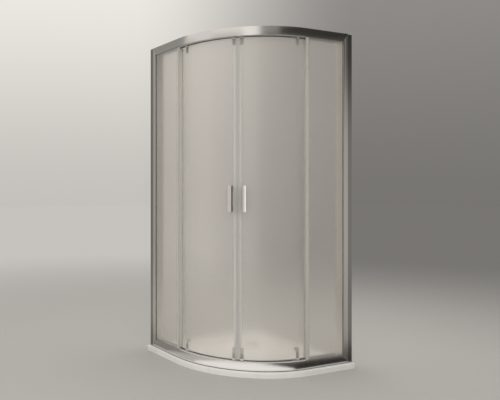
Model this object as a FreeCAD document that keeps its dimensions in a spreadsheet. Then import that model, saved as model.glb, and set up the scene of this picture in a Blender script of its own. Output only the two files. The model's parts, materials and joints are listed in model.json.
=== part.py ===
"""Quadrant shower enclosure with two curved sliding doors, two fixed side panels and its shower tray.

Frame: millimetres, +Z up, origin on the floor under the middle of the tray.  The two walls of the room
are the planes x = -tray_side/2 (left wall) and y = +tray_side/2 (right wall), and the curved front faces
the corner +X, -Y.  The left half is modelled, and the right half is its mirror image in the upright plane
through the middle of the curve.  Three running coordinates are used in the names and comments:
    reach   distance from the left wall, along +X
    inset   distance inwards from the outer edge of the tray, square to it
    height  distance above the top of the tray
"""

import FreeCAD, Part
import math
import os
import Sketcher

RIGHT_ANGLE = 90.0
FULL_TURN = 360.0
HALF_TURN = 180.0
SCREWS_UP_A_POST = 3      # wall screws up a wall profile, and also screws from it into its post
EDGE_TOLERANCE = 0.001    # mm, for finding the tray's edges by their place
AXES = {"X": FreeCAD.Vector(1, 0, 0), "Y": FreeCAD.Vector(0, 1, 0), "Z": FreeCAD.Vector(0, 0, 1)}

# name, value (mm, or degrees where the name ends in _angle), what it is
DRIVING_SIZES = (
    ("tray_side", 900.0, "straight side of the tray, along each wall"),
    ("tray_radius", 550.0, "outer radius of the curved front of the tray"),
    ("tray_height", 32.0, "thickness of the tray at its rim"),
    ("tray_rim", 98.0, "width of the flat rim round the standing area"),
    ("tray_dip", 12.0, "depth of the standing area below the rim"),
    ("tray_edge_round", 4.0, "rounding of the tray's upper outer edge"),
    ("waste_inset", 240.0, "centre of the waste from each wall"),
    ("waste_bore_radius", 40.0, "clear bore of the waste"),
    ("waste_tube_wall", 4.0, "wall of the waste's tube"),
    ("waste_seat_wall", 2.0, "wall of the tube where the cover's skirt sits in it"),
    ("waste_seat_depth", 7.0, "depth of that wider part of the tube"),
    ("waste_rim_radius", 56.0, "rim of the waste"),
    ("waste_rim_thickness", 2.0, "thickness of that rim"),
    ("waste_tail_height", 1.0, "lower end of the waste's tube above the floor"),
    ("waste_cover_radius", 54.0, "radius of the lift-off cover"),
    ("waste_cover_thickness", 3.0, "edge thickness of the cover"),
    ("waste_cover_crown", 2.0, "rise of the cover's domed top"),
    ("waste_skirt_depth", 6.0, "skirt that centres the cover in the tube"),
    ("waste_skirt_wall", 2.0, "wall of that skirt"),
    ("frame_height", 1950.0, "height of the enclosure above the tray"),
    ("rail_inset", 22.0, "outer face of the rails from the edge of the tray"),
    ("rail_height", 50.0, "height of the top rail and of the bottom rail"),
    ("rail_wall", 2.5, "wall of the rails and posts"),
    ("rail_crown", 1.2, "bulge of the rails' outer face"),
    ("glazing_slot", 11.0, "width of the slot for the fixed glass"),
    ("glass_thickness", 6.0, "thickness of all the glass"),
    ("glass_bite", 14.0, "how far the fixed glass reaches into a rail"),
    ("gasket_clearance", 0.2, "gap between a gasket and its slot"),
    ("gasket_back", 2.0, "gasket behind the edge of the glass"),
    ("profile_depth", 30.0, "depth of the wall profile"),
    ("profile_wall", 2.0, "wall of the wall profile"),
    ("profile_clearance", 0.3, "gap between the wall profile and the post in it"),
    ("post_start", 8.0, "back of the side post from the wall"),
    ("post_reach", 64.0, "front of the side post from the wall, where the rails start"),
    ("post_pocket", 14.0, "depth of the post's glazing pocket"),
    ("groove_reach", 49.0, "start of the shadow groove in the post's face"),
    ("groove_width", 6.0, "width of that groove"),
    ("groove_depth", 1.2, "depth of that groove"),
    ("cap_thickness", 3.0, "thickness of the post caps"),
    ("fixed_glass_margin", 8.0, "free edge of the fixed glass before the start of the curve"),
    ("post_glass_gap", 2.0, "fixed glass edge from the bottom of the post's pocket"),
    ("seal_wall", 1.2, "wall of the clear seals"),
    ("seal_grip", 9.0, "how far a seal grips over the glass"),
    ("edge_seal_nose", 4.0, "nose of the fixed panel's edge seal beyond the glass"),
    ("wheel_radius", 11.0, "running radius of the door wheels"),
    ("wheel_width", 11.0, "width of a wheel"),
    ("wheel_side_gap", 0.6, "gap on each side of a wheel"),
    ("wheel_running_gap", 0.3, "gap between a wheel and its ledge"),
    ("wheel_edge_chamfer", 1.0, "chamfer of a wheel's tread"),
    ("axle_radius", 3.0, "radius of the wheel axles"),
    ("axle_fit", 0.05, "radial clearance of the wheels on their axles"),
    ("axle_head_radius", 5.0, "heads of the wheel axles"),
    ("axle_head_thickness", 1.2, "thickness of those heads"),
    ("stem_thickness", 3.0, "sheet thickness of the door brackets"),
    ("stem_width", 14.0, "width of the brackets in the rail's slot"),
    ("stem_top_margin", 7.0, "bracket above the centre of the axle"),
    ("bracket_width", 20.0, "width of the brackets on the glass"),
    ("drift_out", 10.4, "sideways play of the carriages towards the outside"),
    ("drift_in", 0.3, "sideways play of the carriages towards the inside"),
    ("carriage_turn_angle", 19.0, "largest angle between a carriage and the straight rail"),
    ("running_room", 0.6, "clearance round the moving carriages"),
    ("bracket_drop", 1.5, "step of the bracket below the rail"),
    ("door_glass_gap", 6.0, "gap between the rails and the door glass"),
    ("bracket_glass_gap", 0.2, "gap between the curved glass and a bracket"),
    ("top_plate_length", 36.0, "bracket plate on the glass, top"),
    ("bottom_plate_length", 62.0, "bracket plate on the glass, bottom"),
    ("clamp_first", 10.0, "first clamp screw from the edge of the glass"),
    ("clamp_pitch", 15.0, "distance between a bracket's clamp screws"),
    ("clamp_shank_radius", 3.0, "shank of a clamp screw"),
    ("clamp_hole_clearance", 0.2, "clearance of the clamp screws in glass and bracket"),
    ("clamp_cap_radius", 6.5, "flat outer head of a clamp screw"),
    ("clamp_cap_thickness", 1.5, "thickness of that head"),
    ("clamp_nut_radius", 5.5, "inner nut of a clamp screw"),
    ("clamp_nut_thickness", 4.0, "thickness of that nut"),
    ("lead_carriage", 23.0, "leading carriage from the middle of the curve"),
    ("trail_carriage", 25.0, "trailing carriage from the start of the curve"),
    ("open_carriage_reach", 140.0, "trailing carriage from the wall when the door is open"),
    ("door_glass_edge", 12.0, "leading edge of the door glass from the middle"),
    ("door_overlap", 31.0, "trailing edge of the door glass beyond the start of the curve"),
    ("meeting_gap", 0.4, "gap between the two closed magnet seals"),
    ("magnet_width", 7.5, "width of a magnet strip"),
    ("magnet_depth", 6.0, "depth of a magnet strip, through the seal"),
    ("seal_end_clearance", 1.0, "gap between a seal's end and what is above or below it"),
    ("lip_thickness", 1.5, "thickness of the trailing seal's lip"),
    ("lip_clearance", 4.5, "gap between that lip and the fixed glass"),
    ("handle_length", 151.0, "height of the door handles"),
    ("handle_middle", 974.0, "middle of the handles above the tray"),
    ("handle_face_width", 22.0, "width of a handle's front face"),
    ("handle_projection", 38.0, "front of a handle from the glass"),
    ("handle_web", 7.0, "thickness of the handle's web"),
    ("handle_sheet", 4.0, "thickness of the handle's front"),
    ("handle_edge", 29.0, "inner side of a handle from the middle"),
    ("handle_round", 3.0, "rounding of the handle's front edges"),
    ("handle_seat_gap", 0.05, "gap between a handle's foot and the curved glass"),
    ("handle_screw_spacing", 110.0, "distance between a handle's two screws"),
    ("handle_screw_radius", 2.0, "shank of a handle screw"),
    ("handle_screw_depth", 20.0, "screw in the handle"),
    ("handle_washer_radius", 8.0, "head of a handle screw, inside the door"),
    ("handle_washer_thickness", 3.0, "thickness of that head"),
    ("screw_clearance", 0.1, "clearance of screws in their holes"),
    ("release_width", 20.0, "width and height of a release housing"),
    ("release_depth", 13.0, "depth of a release housing"),
    ("release_front", 2.0, "front wall of a release housing"),
    ("release_button_radius", 5.5, "push button of a release"),
    ("release_flange_radius", 7.5, "flange that keeps the button in"),
    ("release_flange_thickness", 2.0, "thickness of that flange"),
    ("release_clearance", 0.3, "gap round the button"),
    ("release_proud", 5.0, "button in front of its housing"),
    ("connector_length", 28.0, "corner connector in the end of a rail"),
    ("connector_clearance", 0.2, "gap between a connector and its rail"),
    ("rail_screw_radius", 2.0, "screws from a post into a rail"),
    ("rail_screw_head_radius", 4.0, "heads of those screws"),
    ("rail_screw_head_thickness", 2.5, "thickness of those heads"),
    ("rail_screw_depth", 22.0, "those screws beyond the post"),
    ("rail_screw_spacing", 20.0, "distance between a corner's two screws"),
    ("post_screw_radius", 2.0, "screws from a wall profile into its post"),
    ("post_screw_head_radius", 4.2, "heads of those screws"),
    ("post_screw_head_thickness", 2.4, "thickness of those heads"),
    ("post_screw_depth", 12.0, "length of those screws"),
    ("post_screw_reach", 20.0, "those screws from the wall"),
    ("post_screw_margin", 200.0, "first and last of those screws from the ends of the frame"),
    ("screw_cap_radius", 7.0, "cover caps on those screws"),
    ("screw_cap_wall", 1.2, "wall of a cover cap"),
    ("wall_hole_radius", 3.0, "empty wall screw holes"),
    ("wall_hole_margin", 300.0, "first and last wall screw hole from the ends of the frame"),
    ("stop_clearance", 1.0, "gap between a stop and a wheel at the end of its run"),
    ("stop_length", 12.0, "length of the open stops"),
    ("stop_height", 9.0, "height of the stops"),
    ("filler_thickness", 3.0, "strip that closes the empty glazing slot"),
)


def as_size(number):
    """Wrap a plain number, so that it can be used with the sizes of the sheet."""
    if isinstance(number, Size):
        return number
    return Size(float(number), repr(float(number)))


class Size:
    """A length or an angle, together with the sheet formula that gives it."""

    def __init__(self, value, formula):
        self.value = value
        self.formula = formula

    def __add__(self, other):
        other = as_size(other)
        return Size(self.value + other.value, f"({self.formula} + {other.formula})")

    def __sub__(self, other):
        other = as_size(other)
        return Size(self.value - other.value, f"({self.formula} - {other.formula})")

    def __rsub__(self, other):
        return as_size(other) - self

    def __mul__(self, other):
        other = as_size(other)
        return Size(self.value * other.value, f"({self.formula} * {other.formula})")

    def __truediv__(self, other):
        other = as_size(other)
        return Size(self.value / other.value, f"({self.formula} / {other.formula})")

    def __neg__(self):
        return Size(-self.value, f"(0 - {self.formula})")

    __radd__ = __add__
    __rmul__ = __mul__


def cos_of(angle):
    """Cosine of an angle in degrees."""
    return Size(math.cos(math.radians(angle.value)), f"cos({angle.formula})")


def sin_of(angle):
    """Sine of an angle in degrees."""
    return Size(math.sin(math.radians(angle.value)), f"sin({angle.formula})")


def arc_angle(length, radius):
    """Degrees that an arc of this length spans at this radius."""
    formula = f"({length.formula} / {radius.formula} * {HALF_TURN} / pi)"
    return Size(math.degrees(length.value / radius.value), formula)


doc = FreeCAD.newDocument("QuadrantEnclosure")
sheet = doc.addObject("Spreadsheet::Sheet", "Sizes")


class Sheet:
    """The driving sizes, one attribute each, as they stand in the spreadsheet."""

    def __init__(self):
        for row, (name, value, note) in enumerate(DRIVING_SIZES, start=1):
            sheet.set(f"A{row}", repr(value))
            sheet.setAlias(f"A{row}", name)
            sheet.set(f"B{row}", note)
            setattr(self, name, Size(value, f"Sizes.{name}"))


d = Sheet()
doc.recompute()

# ---------------------------------------------------------------- places worked out from the driving sizes

NOUGHT = as_size(0.0)
half_side = d.tray_side / 2
curve_x = half_side - d.tray_radius          # centre of the curved front
curve_y = d.tray_radius - half_side
straight_reach = half_side + curve_x         # reach at which the curve starts
fixed_glass_reach = straight_reach - d.fixed_glass_margin
rail_end = d.tray_height + d.frame_height    # top of the top rail
top_rail_z = rail_end - d.rail_height        # underside of the top rail
bottom_rail_z = d.tray_height + d.rail_height
mid_height = d.tray_height + d.frame_height / 2

slot_start = d.rail_inset + d.rail_wall
slot_end = slot_start + d.glazing_slot
fixed_glass_out = slot_start + (d.glazing_slot - d.glass_thickness) / 2
fixed_glass_in = fixed_glass_out + d.glass_thickness
channel_start = slot_end + d.rail_wall

axle_half = d.stem_thickness / 2 + d.wheel_side_gap * 2 + d.wheel_width + d.axle_head_thickness
wheel_far = d.stem_thickness / 2 + d.wheel_side_gap + d.wheel_width
wheel_centre = d.stem_thickness / 2 + d.wheel_side_gap + d.wheel_width / 2
half_turn = d.carriage_turn_angle / 2
outer_room = (d.drift_out + axle_half * cos_of(half_turn) + d.axle_head_radius * sin_of(half_turn)
              + d.running_room)
inner_room = (wheel_far * cos_of(d.carriage_turn_angle) + d.wheel_radius * sin_of(d.carriage_turn_angle)
              + d.drift_in + d.running_room)
stem_inset = channel_start + outer_room
channel_end = stem_inset + inner_room
rail_back = channel_end + d.rail_wall
neck_out = (d.drift_out + d.stem_thickness / 2 * cos_of(half_turn) + d.stem_width / 2 * sin_of(half_turn)
            + d.running_room)
neck_in = (d.drift_in + d.stem_thickness / 2 * cos_of(d.carriage_turn_angle)
           + d.stem_width / 2 * sin_of(d.carriage_turn_angle) + d.running_room)
ledge_edge_out = stem_inset - neck_out
ledge_edge_in = stem_inset + neck_in

stem_radius = d.tray_radius - stem_inset
glass_out_radius = stem_radius
glass_in_radius = glass_out_radius - d.glass_thickness
plate_out_radius = glass_in_radius - d.bracket_glass_gap
plate_in_radius = plate_out_radius - d.stem_thickness

middle_angle = as_size(-RIGHT_ANGLE / 2)
start_angle = as_size(-RIGHT_ANGLE)
lead_angle = middle_angle - arc_angle(d.lead_carriage, stem_radius)
trail_angle = start_angle + arc_angle(d.trail_carriage, stem_radius)
glass_lead_angle = middle_angle - arc_angle(d.door_glass_edge, stem_radius)
glass_trail_angle = start_angle - arc_angle(d.door_overlap, stem_radius)

door_glass_top = top_rail_z - d.door_glass_gap
door_glass_bottom = bottom_rail_z + d.door_glass_gap
axle_height = top_rail_z + d.rail_wall + d.wheel_running_gap + d.wheel_radius
cap_bottom = rail_end - d.cap_thickness


# ---------------------------------------------------------------- building blocks

nodes = {}


def bind(item, place, size):
    """Tie one property of an object to the sheet."""
    item.setExpression(place, as_size(size).formula)


def put(item, x=NOUGHT, y=NOUGHT, z=NOUGHT, angle=NOUGHT):
    """Place an object, turned about the upright axis."""
    turn = FreeCAD.Rotation(AXES["Z"], angle.value)
    item.Placement = FreeCAD.Placement(FreeCAD.Vector(x.value, y.value, z.value), turn)
    bind(item, "Placement.Base.x", x)
    bind(item, "Placement.Base.y", y)
    bind(item, "Placement.Base.z", z)
    bind(item, "Placement.Rotation.Angle", angle)
    return item


def on_curve(item, angle):
    """Place an object made in the door's own frame: x outwards from the curve's centre, y along it."""
    return put(item, curve_x, curve_y, NOUGHT, angle)


def node(name, item):
    """Name an object as one of the parts that are handed over."""
    item.Label = name
    nodes[name] = item
    return item


def origin_plane(body, role):
    """The body's own origin plane of this role."""
    return next(feature for feature in body.Origin.OriginFeatures if feature.Role == role)


def new_sketch(body, role, offset=NOUGHT):
    """An empty sketch on one of the body's origin planes, moved along the plane's normal."""
    sketch = body.newObject("Sketcher::SketchObject", "Sketch")
    sketch.AttachmentSupport = [(origin_plane(body, role), "")]
    sketch.MapMode = "FlatFace"
    bind(sketch, "AttachmentOffset.Base.z", offset)
    return sketch


def pin_point(sketch, geometry, position, x, y):
    """Hold a point of the sketch at two sizes."""
    for kind, size in (("DistanceX", x), ("DistanceY", y)):
        index = sketch.addConstraint(Sketcher.Constraint(kind, -1, 1, geometry, position, size.value))
        sketch.setExpression(f"Constraints[{index}]", size.formula)


def bind_radius(sketch, geometry, radius):
    """Hold the radius of an arc or circle at a size."""
    index = sketch.addConstraint(Sketcher.Constraint("Radius", geometry, radius.value))
    sketch.setExpression(f"Constraints[{index}]", radius.formula)


def draw_circle(sketch, x, y, radius):
    """A circle held by its centre and radius."""
    centre = FreeCAD.Vector(x.value, y.value, 0)
    index = sketch.addGeometry(Part.Circle(centre, AXES["Z"], radius.value), False)
    pin_point(sketch, index, 3, x, y)
    bind_radius(sketch, index, radius)


def arc_between(start, end, centre):
    """An arc from start to end round a centre, the short way, and whether it runs clockwise."""
    first = math.atan2(start.y - centre.y, start.x - centre.x)
    last = math.atan2(end.y - centre.y, end.x - centre.x)
    sweep = math.remainder(last - first, 2 * math.pi)
    circle = Part.Circle(centre, AXES["Z"], start.distanceToPoint(centre))
    if sweep > 0:
        return Part.ArcOfCircle(circle, first, first + sweep), False
    return Part.ArcOfCircle(circle, last, last - sweep), True


def draw_outline(sketch, corners, arcs=None, closed=True):
    """A chain of straight sides and arcs through the corners.

    corners  pairs of sizes, in order
    arcs     for each side that is an arc, the number of its first corner and (centre x, centre y, radius)
    """
    arcs = arcs or {}
    points = [FreeCAD.Vector(x.value, y.value, 0) for x, y in corners]
    count = len(points) if closed else len(points) - 1
    ends = []
    for side in range(count):
        start = points[side]
        end = points[(side + 1) % len(points)]
        if side in arcs:
            centre_x, centre_y, radius = arcs[side]
            curve, clockwise = arc_between(start, end, FreeCAD.Vector(centre_x.value, centre_y.value, 0))
            index = sketch.addGeometry(curve, False)
            bind_radius(sketch, index, radius)
            ends.append((index, 2, 1) if clockwise else (index, 1, 2))
        else:
            index = sketch.addGeometry(Part.LineSegment(start, end), False)
            ends.append((index, 1, 2))
    for side in range(count if closed else count - 1):
        following = ends[(side + 1) % count]
        sketch.addConstraint(Sketcher.Constraint("Coincident", ends[side][0], ends[side][2],
                                                 following[0], following[1]))
    for side in range(count):
        pin_point(sketch, ends[side][0], ends[side][1], *corners[side])
    if not closed:
        pin_point(sketch, ends[-1][0], ends[-1][2], *corners[-1])


def add_pad(body, sketch, length):
    """Pad a sketch along its normal."""
    pad = body.newObject("PartDesign::Pad", "Pad")
    pad.Profile = sketch
    bind(pad, "Length", length)
    return pad


def padded(corners, low, high, arcs=None, holes=(), role="XY_Plane"):
    """A body padded from an outline, from one offset of the plane to another.

    holes  inner outlines, each a list of corners
    """
    body = doc.addObject("PartDesign::Body", "Body")
    sketch = new_sketch(body, role, low)
    draw_outline(sketch, corners, arcs)
    for hole in holes:
        draw_outline(sketch, hole)
    add_pad(body, sketch, high - low)
    return body


def rectangle(x0, x1, y0, y1):
    """The four corners of an upright rectangle, anticlockwise."""
    return [(x0, y0), (x1, y0), (x1, y1), (x0, y1)]


def block(x0, x1, y0, y1, z0, z1):
    """A plain box between three pairs of sizes."""
    box = doc.addObject("Part::Box", "Block")
    bind(box, "Length", x1 - x0)
    bind(box, "Width", y1 - y0)
    bind(box, "Height", z1 - z0)
    return put(box, x0, y0, z0)


def rod(radius, x, y, z, axis, length):
    """A cylinder from a point along an axis."""
    cylinder = doc.addObject("Part::Cylinder", "Rod")
    turn = FreeCAD.Rotation(AXES["Z"], AXES[axis])
    cylinder.Placement = FreeCAD.Placement(FreeCAD.Vector(x.value, y.value, z.value), turn)
    bind(cylinder, "Radius", radius)
    bind(cylinder, "Height", length)
    bind(cylinder, "Placement.Base.x", x)
    bind(cylinder, "Placement.Base.y", y)
    bind(cylinder, "Placement.Base.z", z)
    return cylinder


def polar(radius, angle):
    """The plan position at a radius and angle of the curve."""
    return curve_x + radius * cos_of(angle), curve_y + radius * sin_of(angle)


def sector(inner, outer, first, last, low, high):
    """A curved bar between two radii, two angles and two levels, round the curve's centre."""
    corners = [polar(inner, first), polar(outer, first), polar(outer, last), polar(inner, last)]
    arcs = {1: (curve_x, curve_y, outer), 3: (curve_x, curve_y, inner)}
    return padded(corners, low, high, arcs)


def revolved(corners, axis):
    """A body turned from an outline in the XZ plane, about the sketch's H_Axis (X) or V_Axis (Z)."""
    body = doc.addObject("PartDesign::Body", "Body")
    sketch = new_sketch(body, "XZ_Plane")
    draw_outline(sketch, corners)
    turned = body.newObject("PartDesign::Revolution", "Revolution")
    turned.Profile = sketch
    turned.ReferenceAxis = (sketch, [axis])
    turned.Angle = FULL_TURN
    return body


def cut(base, tools):
    """A base with some tools taken away."""
    result = doc.addObject("Part::Cut", "Cut")
    result.Base = base
    if len(tools) == 1:
        result.Tool = tools[0]
    else:
        joined = doc.addObject("Part::MultiFuse", "Tools")
        joined.Shapes = tools
        result.Tool = joined
    return result


def fused(items):
    """Overlapping or touching items as one solid."""
    result = doc.addObject("Part::MultiFuse", "Fusion")
    result.Shapes = items
    result.Refine = True
    return result


def group(items):
    """Separate solids that share one node."""
    result = doc.addObject("Part::Compound", "Group")
    result.Links = items
    return result


def other_side(source):
    """The mirror image of an item, on the right-hand half of the enclosure."""
    image = doc.addObject("Part::Mirroring", "RightHand")
    image.Source = source
    image.Normal = AXES["X"] + AXES["Y"]
    bind(image, "Base.x", curve_x)
    bind(image, "Base.y", curve_y)
    return image


def other_end(source):
    """The mirror image of an item, at the other of the two rails."""
    image = doc.addObject("Part::Mirroring", "OtherRail")
    image.Source = source
    image.Normal = AXES["Z"]
    bind(image, "Base.z", mid_height)
    return image


def both_sides(name, item):
    """One item as NAME_left, and its mirror image as NAME_right."""
    node(name + "_left", item)
    node(name + "_right", other_side(item))


def from_wall(reach):
    """x of a place at this reach from the left wall."""
    return reach - half_side


def from_edge(inset):
    """y of a place at this inset from the tray's edge, on the left-hand straight side."""
    return inset - half_side


# ---------------------------------------------------------------- tray and waste

def tray_outline(inset_size, wall_inset):
    """Outline of the tray's plan, drawn in from the curved front and from the walls."""
    near = from_edge(inset_size)
    far = half_side - inset_size
    back = half_side - wall_inset
    radius = d.tray_radius - inset_size
    corners = [(-back, near), (curve_x, near), (far, curve_y), (far, back), (-back, back)]
    return corners, {1: (curve_x, curve_y, radius)}


def make_tray():
    """The low tray: a rim all round, a shallow standing area and the hole for the waste."""
    body = doc.addObject("PartDesign::Body", "Body")
    corners, arcs = tray_outline(NOUGHT, NOUGHT)
    base = new_sketch(body, "XY_Plane")
    draw_outline(base, corners, arcs)
    add_pad(body, base, d.tray_height)
    inner_corners, inner_arcs = tray_outline(d.tray_rim, d.tray_rim)
    floor_z = d.tray_height - d.tray_dip
    dip = new_sketch(body, "XY_Plane", d.tray_height)
    draw_outline(dip, inner_corners, inner_arcs)
    pocket = body.newObject("PartDesign::Pocket", "StandingArea")
    pocket.Profile = dip
    bind(pocket, "Length", d.tray_dip)
    seat = new_sketch(body, "XY_Plane", floor_z)
    draw_circle(seat, waste_x, waste_y, d.waste_rim_radius + d.profile_clearance)
    recess = body.newObject("PartDesign::Pocket", "WasteSeat")
    recess.Profile = seat
    bind(recess, "Length", d.waste_rim_thickness)
    bore = new_sketch(body, "XY_Plane", d.tray_height)
    tube_radius = d.waste_bore_radius + d.waste_tube_wall
    draw_circle(bore, waste_x, waste_y, tube_radius + d.profile_clearance)
    through = body.newObject("PartDesign::Pocket", "WasteHole")
    through.Profile = bore
    bind(through, "Length", d.tray_height)
    doc.recompute()
    shape = through.Shape
    top_edges = [f"Edge{number}" for number, edge in enumerate(shape.Edges, start=1)
                 if is_front_top_edge(edge)]
    rounded = body.newObject("PartDesign::Fillet", "TopEdge")
    rounded.Base = (through, top_edges)
    bind(rounded, "Radius", d.tray_edge_round)
    return body


def is_front_top_edge(edge):
    """Whether an edge is on the tray's upper rim, on the free front and not at a wall."""
    box = edge.BoundBox
    rim = d.tray_height.value
    if max(abs(box.ZMin - rim), abs(box.ZMax - rim)) > EDGE_TOLERANCE:
        return False
    middle = edge.valueAt((edge.FirstParameter + edge.LastParameter) / 2)
    from_centre = math.hypot(middle.x - curve_x.value, middle.y - curve_y.value)
    on_left = abs(middle.y + half_side.value) < EDGE_TOLERANCE
    on_right = abs(middle.x - half_side.value) < EDGE_TOLERANCE
    on_curved_front = abs(from_centre - d.tray_radius.value) < EDGE_TOLERANCE
    return on_left or on_right or on_curved_front


waste_x = from_wall(d.waste_inset)
waste_y = half_side - d.waste_inset
waste_seat_z = d.tray_height - d.tray_dip - d.waste_rim_thickness
waste_top_z = d.tray_height - d.tray_dip


def make_waste():
    """The waste: a rim seated in the tray, and a tube through it."""
    inner = d.waste_bore_radius
    outer = inner + d.waste_tube_wall
    rim = d.waste_rim_radius
    seat = outer - d.waste_seat_wall
    seat_low = waste_top_z - d.waste_seat_depth
    corners = [(inner, d.waste_tail_height), (outer, d.waste_tail_height), (outer, waste_seat_z),
               (rim, waste_seat_z), (rim, waste_top_z), (seat, waste_top_z), (seat, seat_low),
               (inner, seat_low)]
    return put(revolved(corners, "V_Axis"), waste_x, waste_y)


def make_waste_cover():
    """The lift-off cover: a low dome with a skirt that centres it in the bore."""
    low = waste_top_z + d.profile_clearance
    high = low + d.waste_cover_thickness
    tube_outer = d.waste_bore_radius + d.waste_tube_wall
    skirt_out = tube_outer - d.waste_seat_wall - d.profile_clearance
    skirt_in = skirt_out - d.waste_skirt_wall
    skirt_low = low - d.waste_skirt_depth
    corners = [(NOUGHT, low), (skirt_in, low), (skirt_in, skirt_low), (skirt_out, skirt_low),
               (skirt_out, low), (d.waste_cover_radius, low), (d.waste_cover_radius, high),
               (NOUGHT, high + d.waste_cover_crown)]
    return put(revolved(corners, "V_Axis"), waste_x, waste_y)


# ---------------------------------------------------------------- rails

def make_rail():
    """The top rail: one extrusion, bent to the plan, from post to post.

    Its section has a crowned face, a slot for the fixed glass and a channel, open below between two
    ledges, in which the door wheels run.
    """
    body = doc.addObject("PartDesign::Body", "Body")
    section = new_sketch(body, "YZ_Plane", from_wall(d.post_reach))
    low = top_rail_z
    high = rail_end
    web = high - d.rail_wall
    ledge = low + d.rail_wall
    insets = [(d.rail_inset, low), (d.rail_inset, high), (rail_back, high), (rail_back, low),
              (ledge_edge_in, low), (ledge_edge_in, ledge), (channel_end, ledge), (channel_end, web),
              (channel_start, web), (channel_start, ledge), (ledge_edge_out, ledge), (ledge_edge_out, low),
              (slot_end, low), (slot_end, web), (slot_start, web), (slot_start, low)]
    corners = [(from_edge(inset), z) for inset, z in insets]
    half_height = d.rail_height / 2
    crown_radius = (half_height * half_height / d.rail_crown + d.rail_crown) / 2
    crown_centre = (from_edge(d.rail_inset - d.rail_crown + crown_radius), (low + high) / 2)
    draw_outline(section, corners, {0: (crown_centre[0], crown_centre[1], crown_radius)})
    path = new_sketch(body, "XY_Plane")
    front = from_edge(d.rail_inset)
    side = half_side - d.rail_inset
    bend = d.tray_radius - d.rail_inset
    path_corners = [(from_wall(d.post_reach), front), (curve_x, front), (side, curve_y),
                    (side, half_side - d.post_reach)]
    draw_outline(path, path_corners, {1: (curve_x, curve_y, bend)}, closed=False)
    doc.recompute()
    pipe = body.newObject("PartDesign::AdditivePipe", "Extrusion")
    pipe.Profile = section
    pipe.Spine = (path, ["Edge1", "Edge2", "Edge3"])
    return body


def make_slot_filler():
    """The strip that closes the top rail's glazing slot along the curve, where no glass is."""
    outer = d.tray_radius - slot_start - d.gasket_clearance
    inner = d.tray_radius - slot_end + d.gasket_clearance
    return sector(inner, outer, start_angle, NOUGHT, top_rail_z, top_rail_z + d.filler_thickness)


# ---------------------------------------------------------------- posts at the walls

def make_wall_profile():
    """The channel that is screwed to the wall, with its empty wall holes."""
    inner = d.rail_inset + d.profile_wall
    far = rail_back - d.profile_wall
    plan = [(NOUGHT, d.rail_inset), (d.profile_depth, d.rail_inset), (d.profile_depth, inner),
            (d.profile_wall, inner), (d.profile_wall, far), (d.profile_depth, far),
            (d.profile_depth, rail_back), (NOUGHT, rail_back)]
    corners = [(from_wall(reach), from_edge(inset)) for reach, inset in plan]
    channel = padded(corners, d.tray_height, cap_bottom)
    centre = from_edge((d.rail_inset + rail_back) / 2)
    tools = []
    for z in heights_up_a_post(d.wall_hole_margin):
        tools.append(rod(d.wall_hole_radius, from_wall(-d.profile_wall), centre, z, "X",
                         d.profile_wall * 3))
    for z in heights_up_a_post(d.post_screw_margin):
        tools.append(rod(d.post_screw_radius + d.screw_clearance, from_wall(d.post_screw_reach),
                         from_edge(far - d.profile_wall), z, "Y", d.profile_wall * 3))
    return cut(channel, tools)


def heights_up_a_post(margin):
    """Levels of evenly spaced screws, with the first and last at this distance from the frame's ends."""
    pitch = (d.frame_height - margin * 2) / (SCREWS_UP_A_POST - 1)
    return [d.tray_height + margin + pitch * count for count in range(SCREWS_UP_A_POST)]


def rail_screw_insets():
    """Insets of the two screws at each rail end."""
    middle = (channel_start + channel_end) / 2
    return [middle - d.rail_screw_spacing / 2, middle + d.rail_screw_spacing / 2]


def rail_screw_level():
    """Level of the screws into the top rail."""
    return rail_end - d.rail_height / 2


def make_side_post():
    """The post that slides into the wall profile, takes the fixed glass and carries the rail ends."""
    tongue_out = d.rail_inset + d.profile_wall + d.profile_clearance
    tongue_in = rail_back - d.profile_wall - d.profile_clearance
    shoulder = d.profile_depth + d.profile_clearance
    pocket = d.post_reach - d.post_pocket
    groove_end = d.groove_reach + d.groove_width
    groove_floor = d.rail_inset + d.groove_depth
    plan = [(d.post_start, tongue_out), (shoulder, tongue_out), (shoulder, d.rail_inset),
            (d.groove_reach, d.rail_inset), (d.groove_reach, groove_floor), (groove_end, groove_floor),
            (groove_end, d.rail_inset), (d.post_reach, d.rail_inset), (d.post_reach, slot_start),
            (pocket, slot_start), (pocket, slot_end), (d.post_reach, slot_end), (d.post_reach, rail_back),
            (shoulder, rail_back), (shoulder, tongue_in), (d.post_start, tongue_in)]
    hollow_back = d.post_start + d.rail_wall
    hollow_front = d.post_reach - d.rail_wall
    hollow_near = tongue_out + d.rail_wall
    hollow_far = tongue_in - d.rail_wall
    hollow = [(hollow_back, hollow_near), (pocket - d.rail_wall, hollow_near),
              (pocket - d.rail_wall, slot_end + d.rail_wall), (hollow_front, slot_end + d.rail_wall),
              (hollow_front, hollow_far), (hollow_back, hollow_far)]
    outline = [(from_wall(reach), from_edge(inset)) for reach, inset in plan]
    inner = [(from_wall(reach), from_edge(inset)) for reach, inset in hollow]
    post = padded(outline, d.tray_height, cap_bottom, holes=[inner])
    tools = []
    for z in heights_up_a_post(d.post_screw_margin):
        tools.append(rod(d.post_screw_radius + d.screw_clearance, from_wall(d.post_screw_reach),
                         from_edge(hollow_far - d.rail_wall), z, "Y", d.rail_wall * 3))
    for z in (rail_screw_level(), mid_height * 2 - rail_screw_level()):
        for inset in rail_screw_insets():
            tools.append(rod(d.rail_screw_radius + d.screw_clearance, from_wall(hollow_front - d.rail_wall),
                             from_edge(inset), z, "X", d.rail_wall * 3))
    return cut(post, tools)


def make_post_cap():
    """The cap on top of a wall profile and its post."""
    return block(from_wall(NOUGHT), from_wall(d.post_reach), from_edge(d.rail_inset),
                 from_edge(rail_back), cap_bottom, rail_end)


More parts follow.
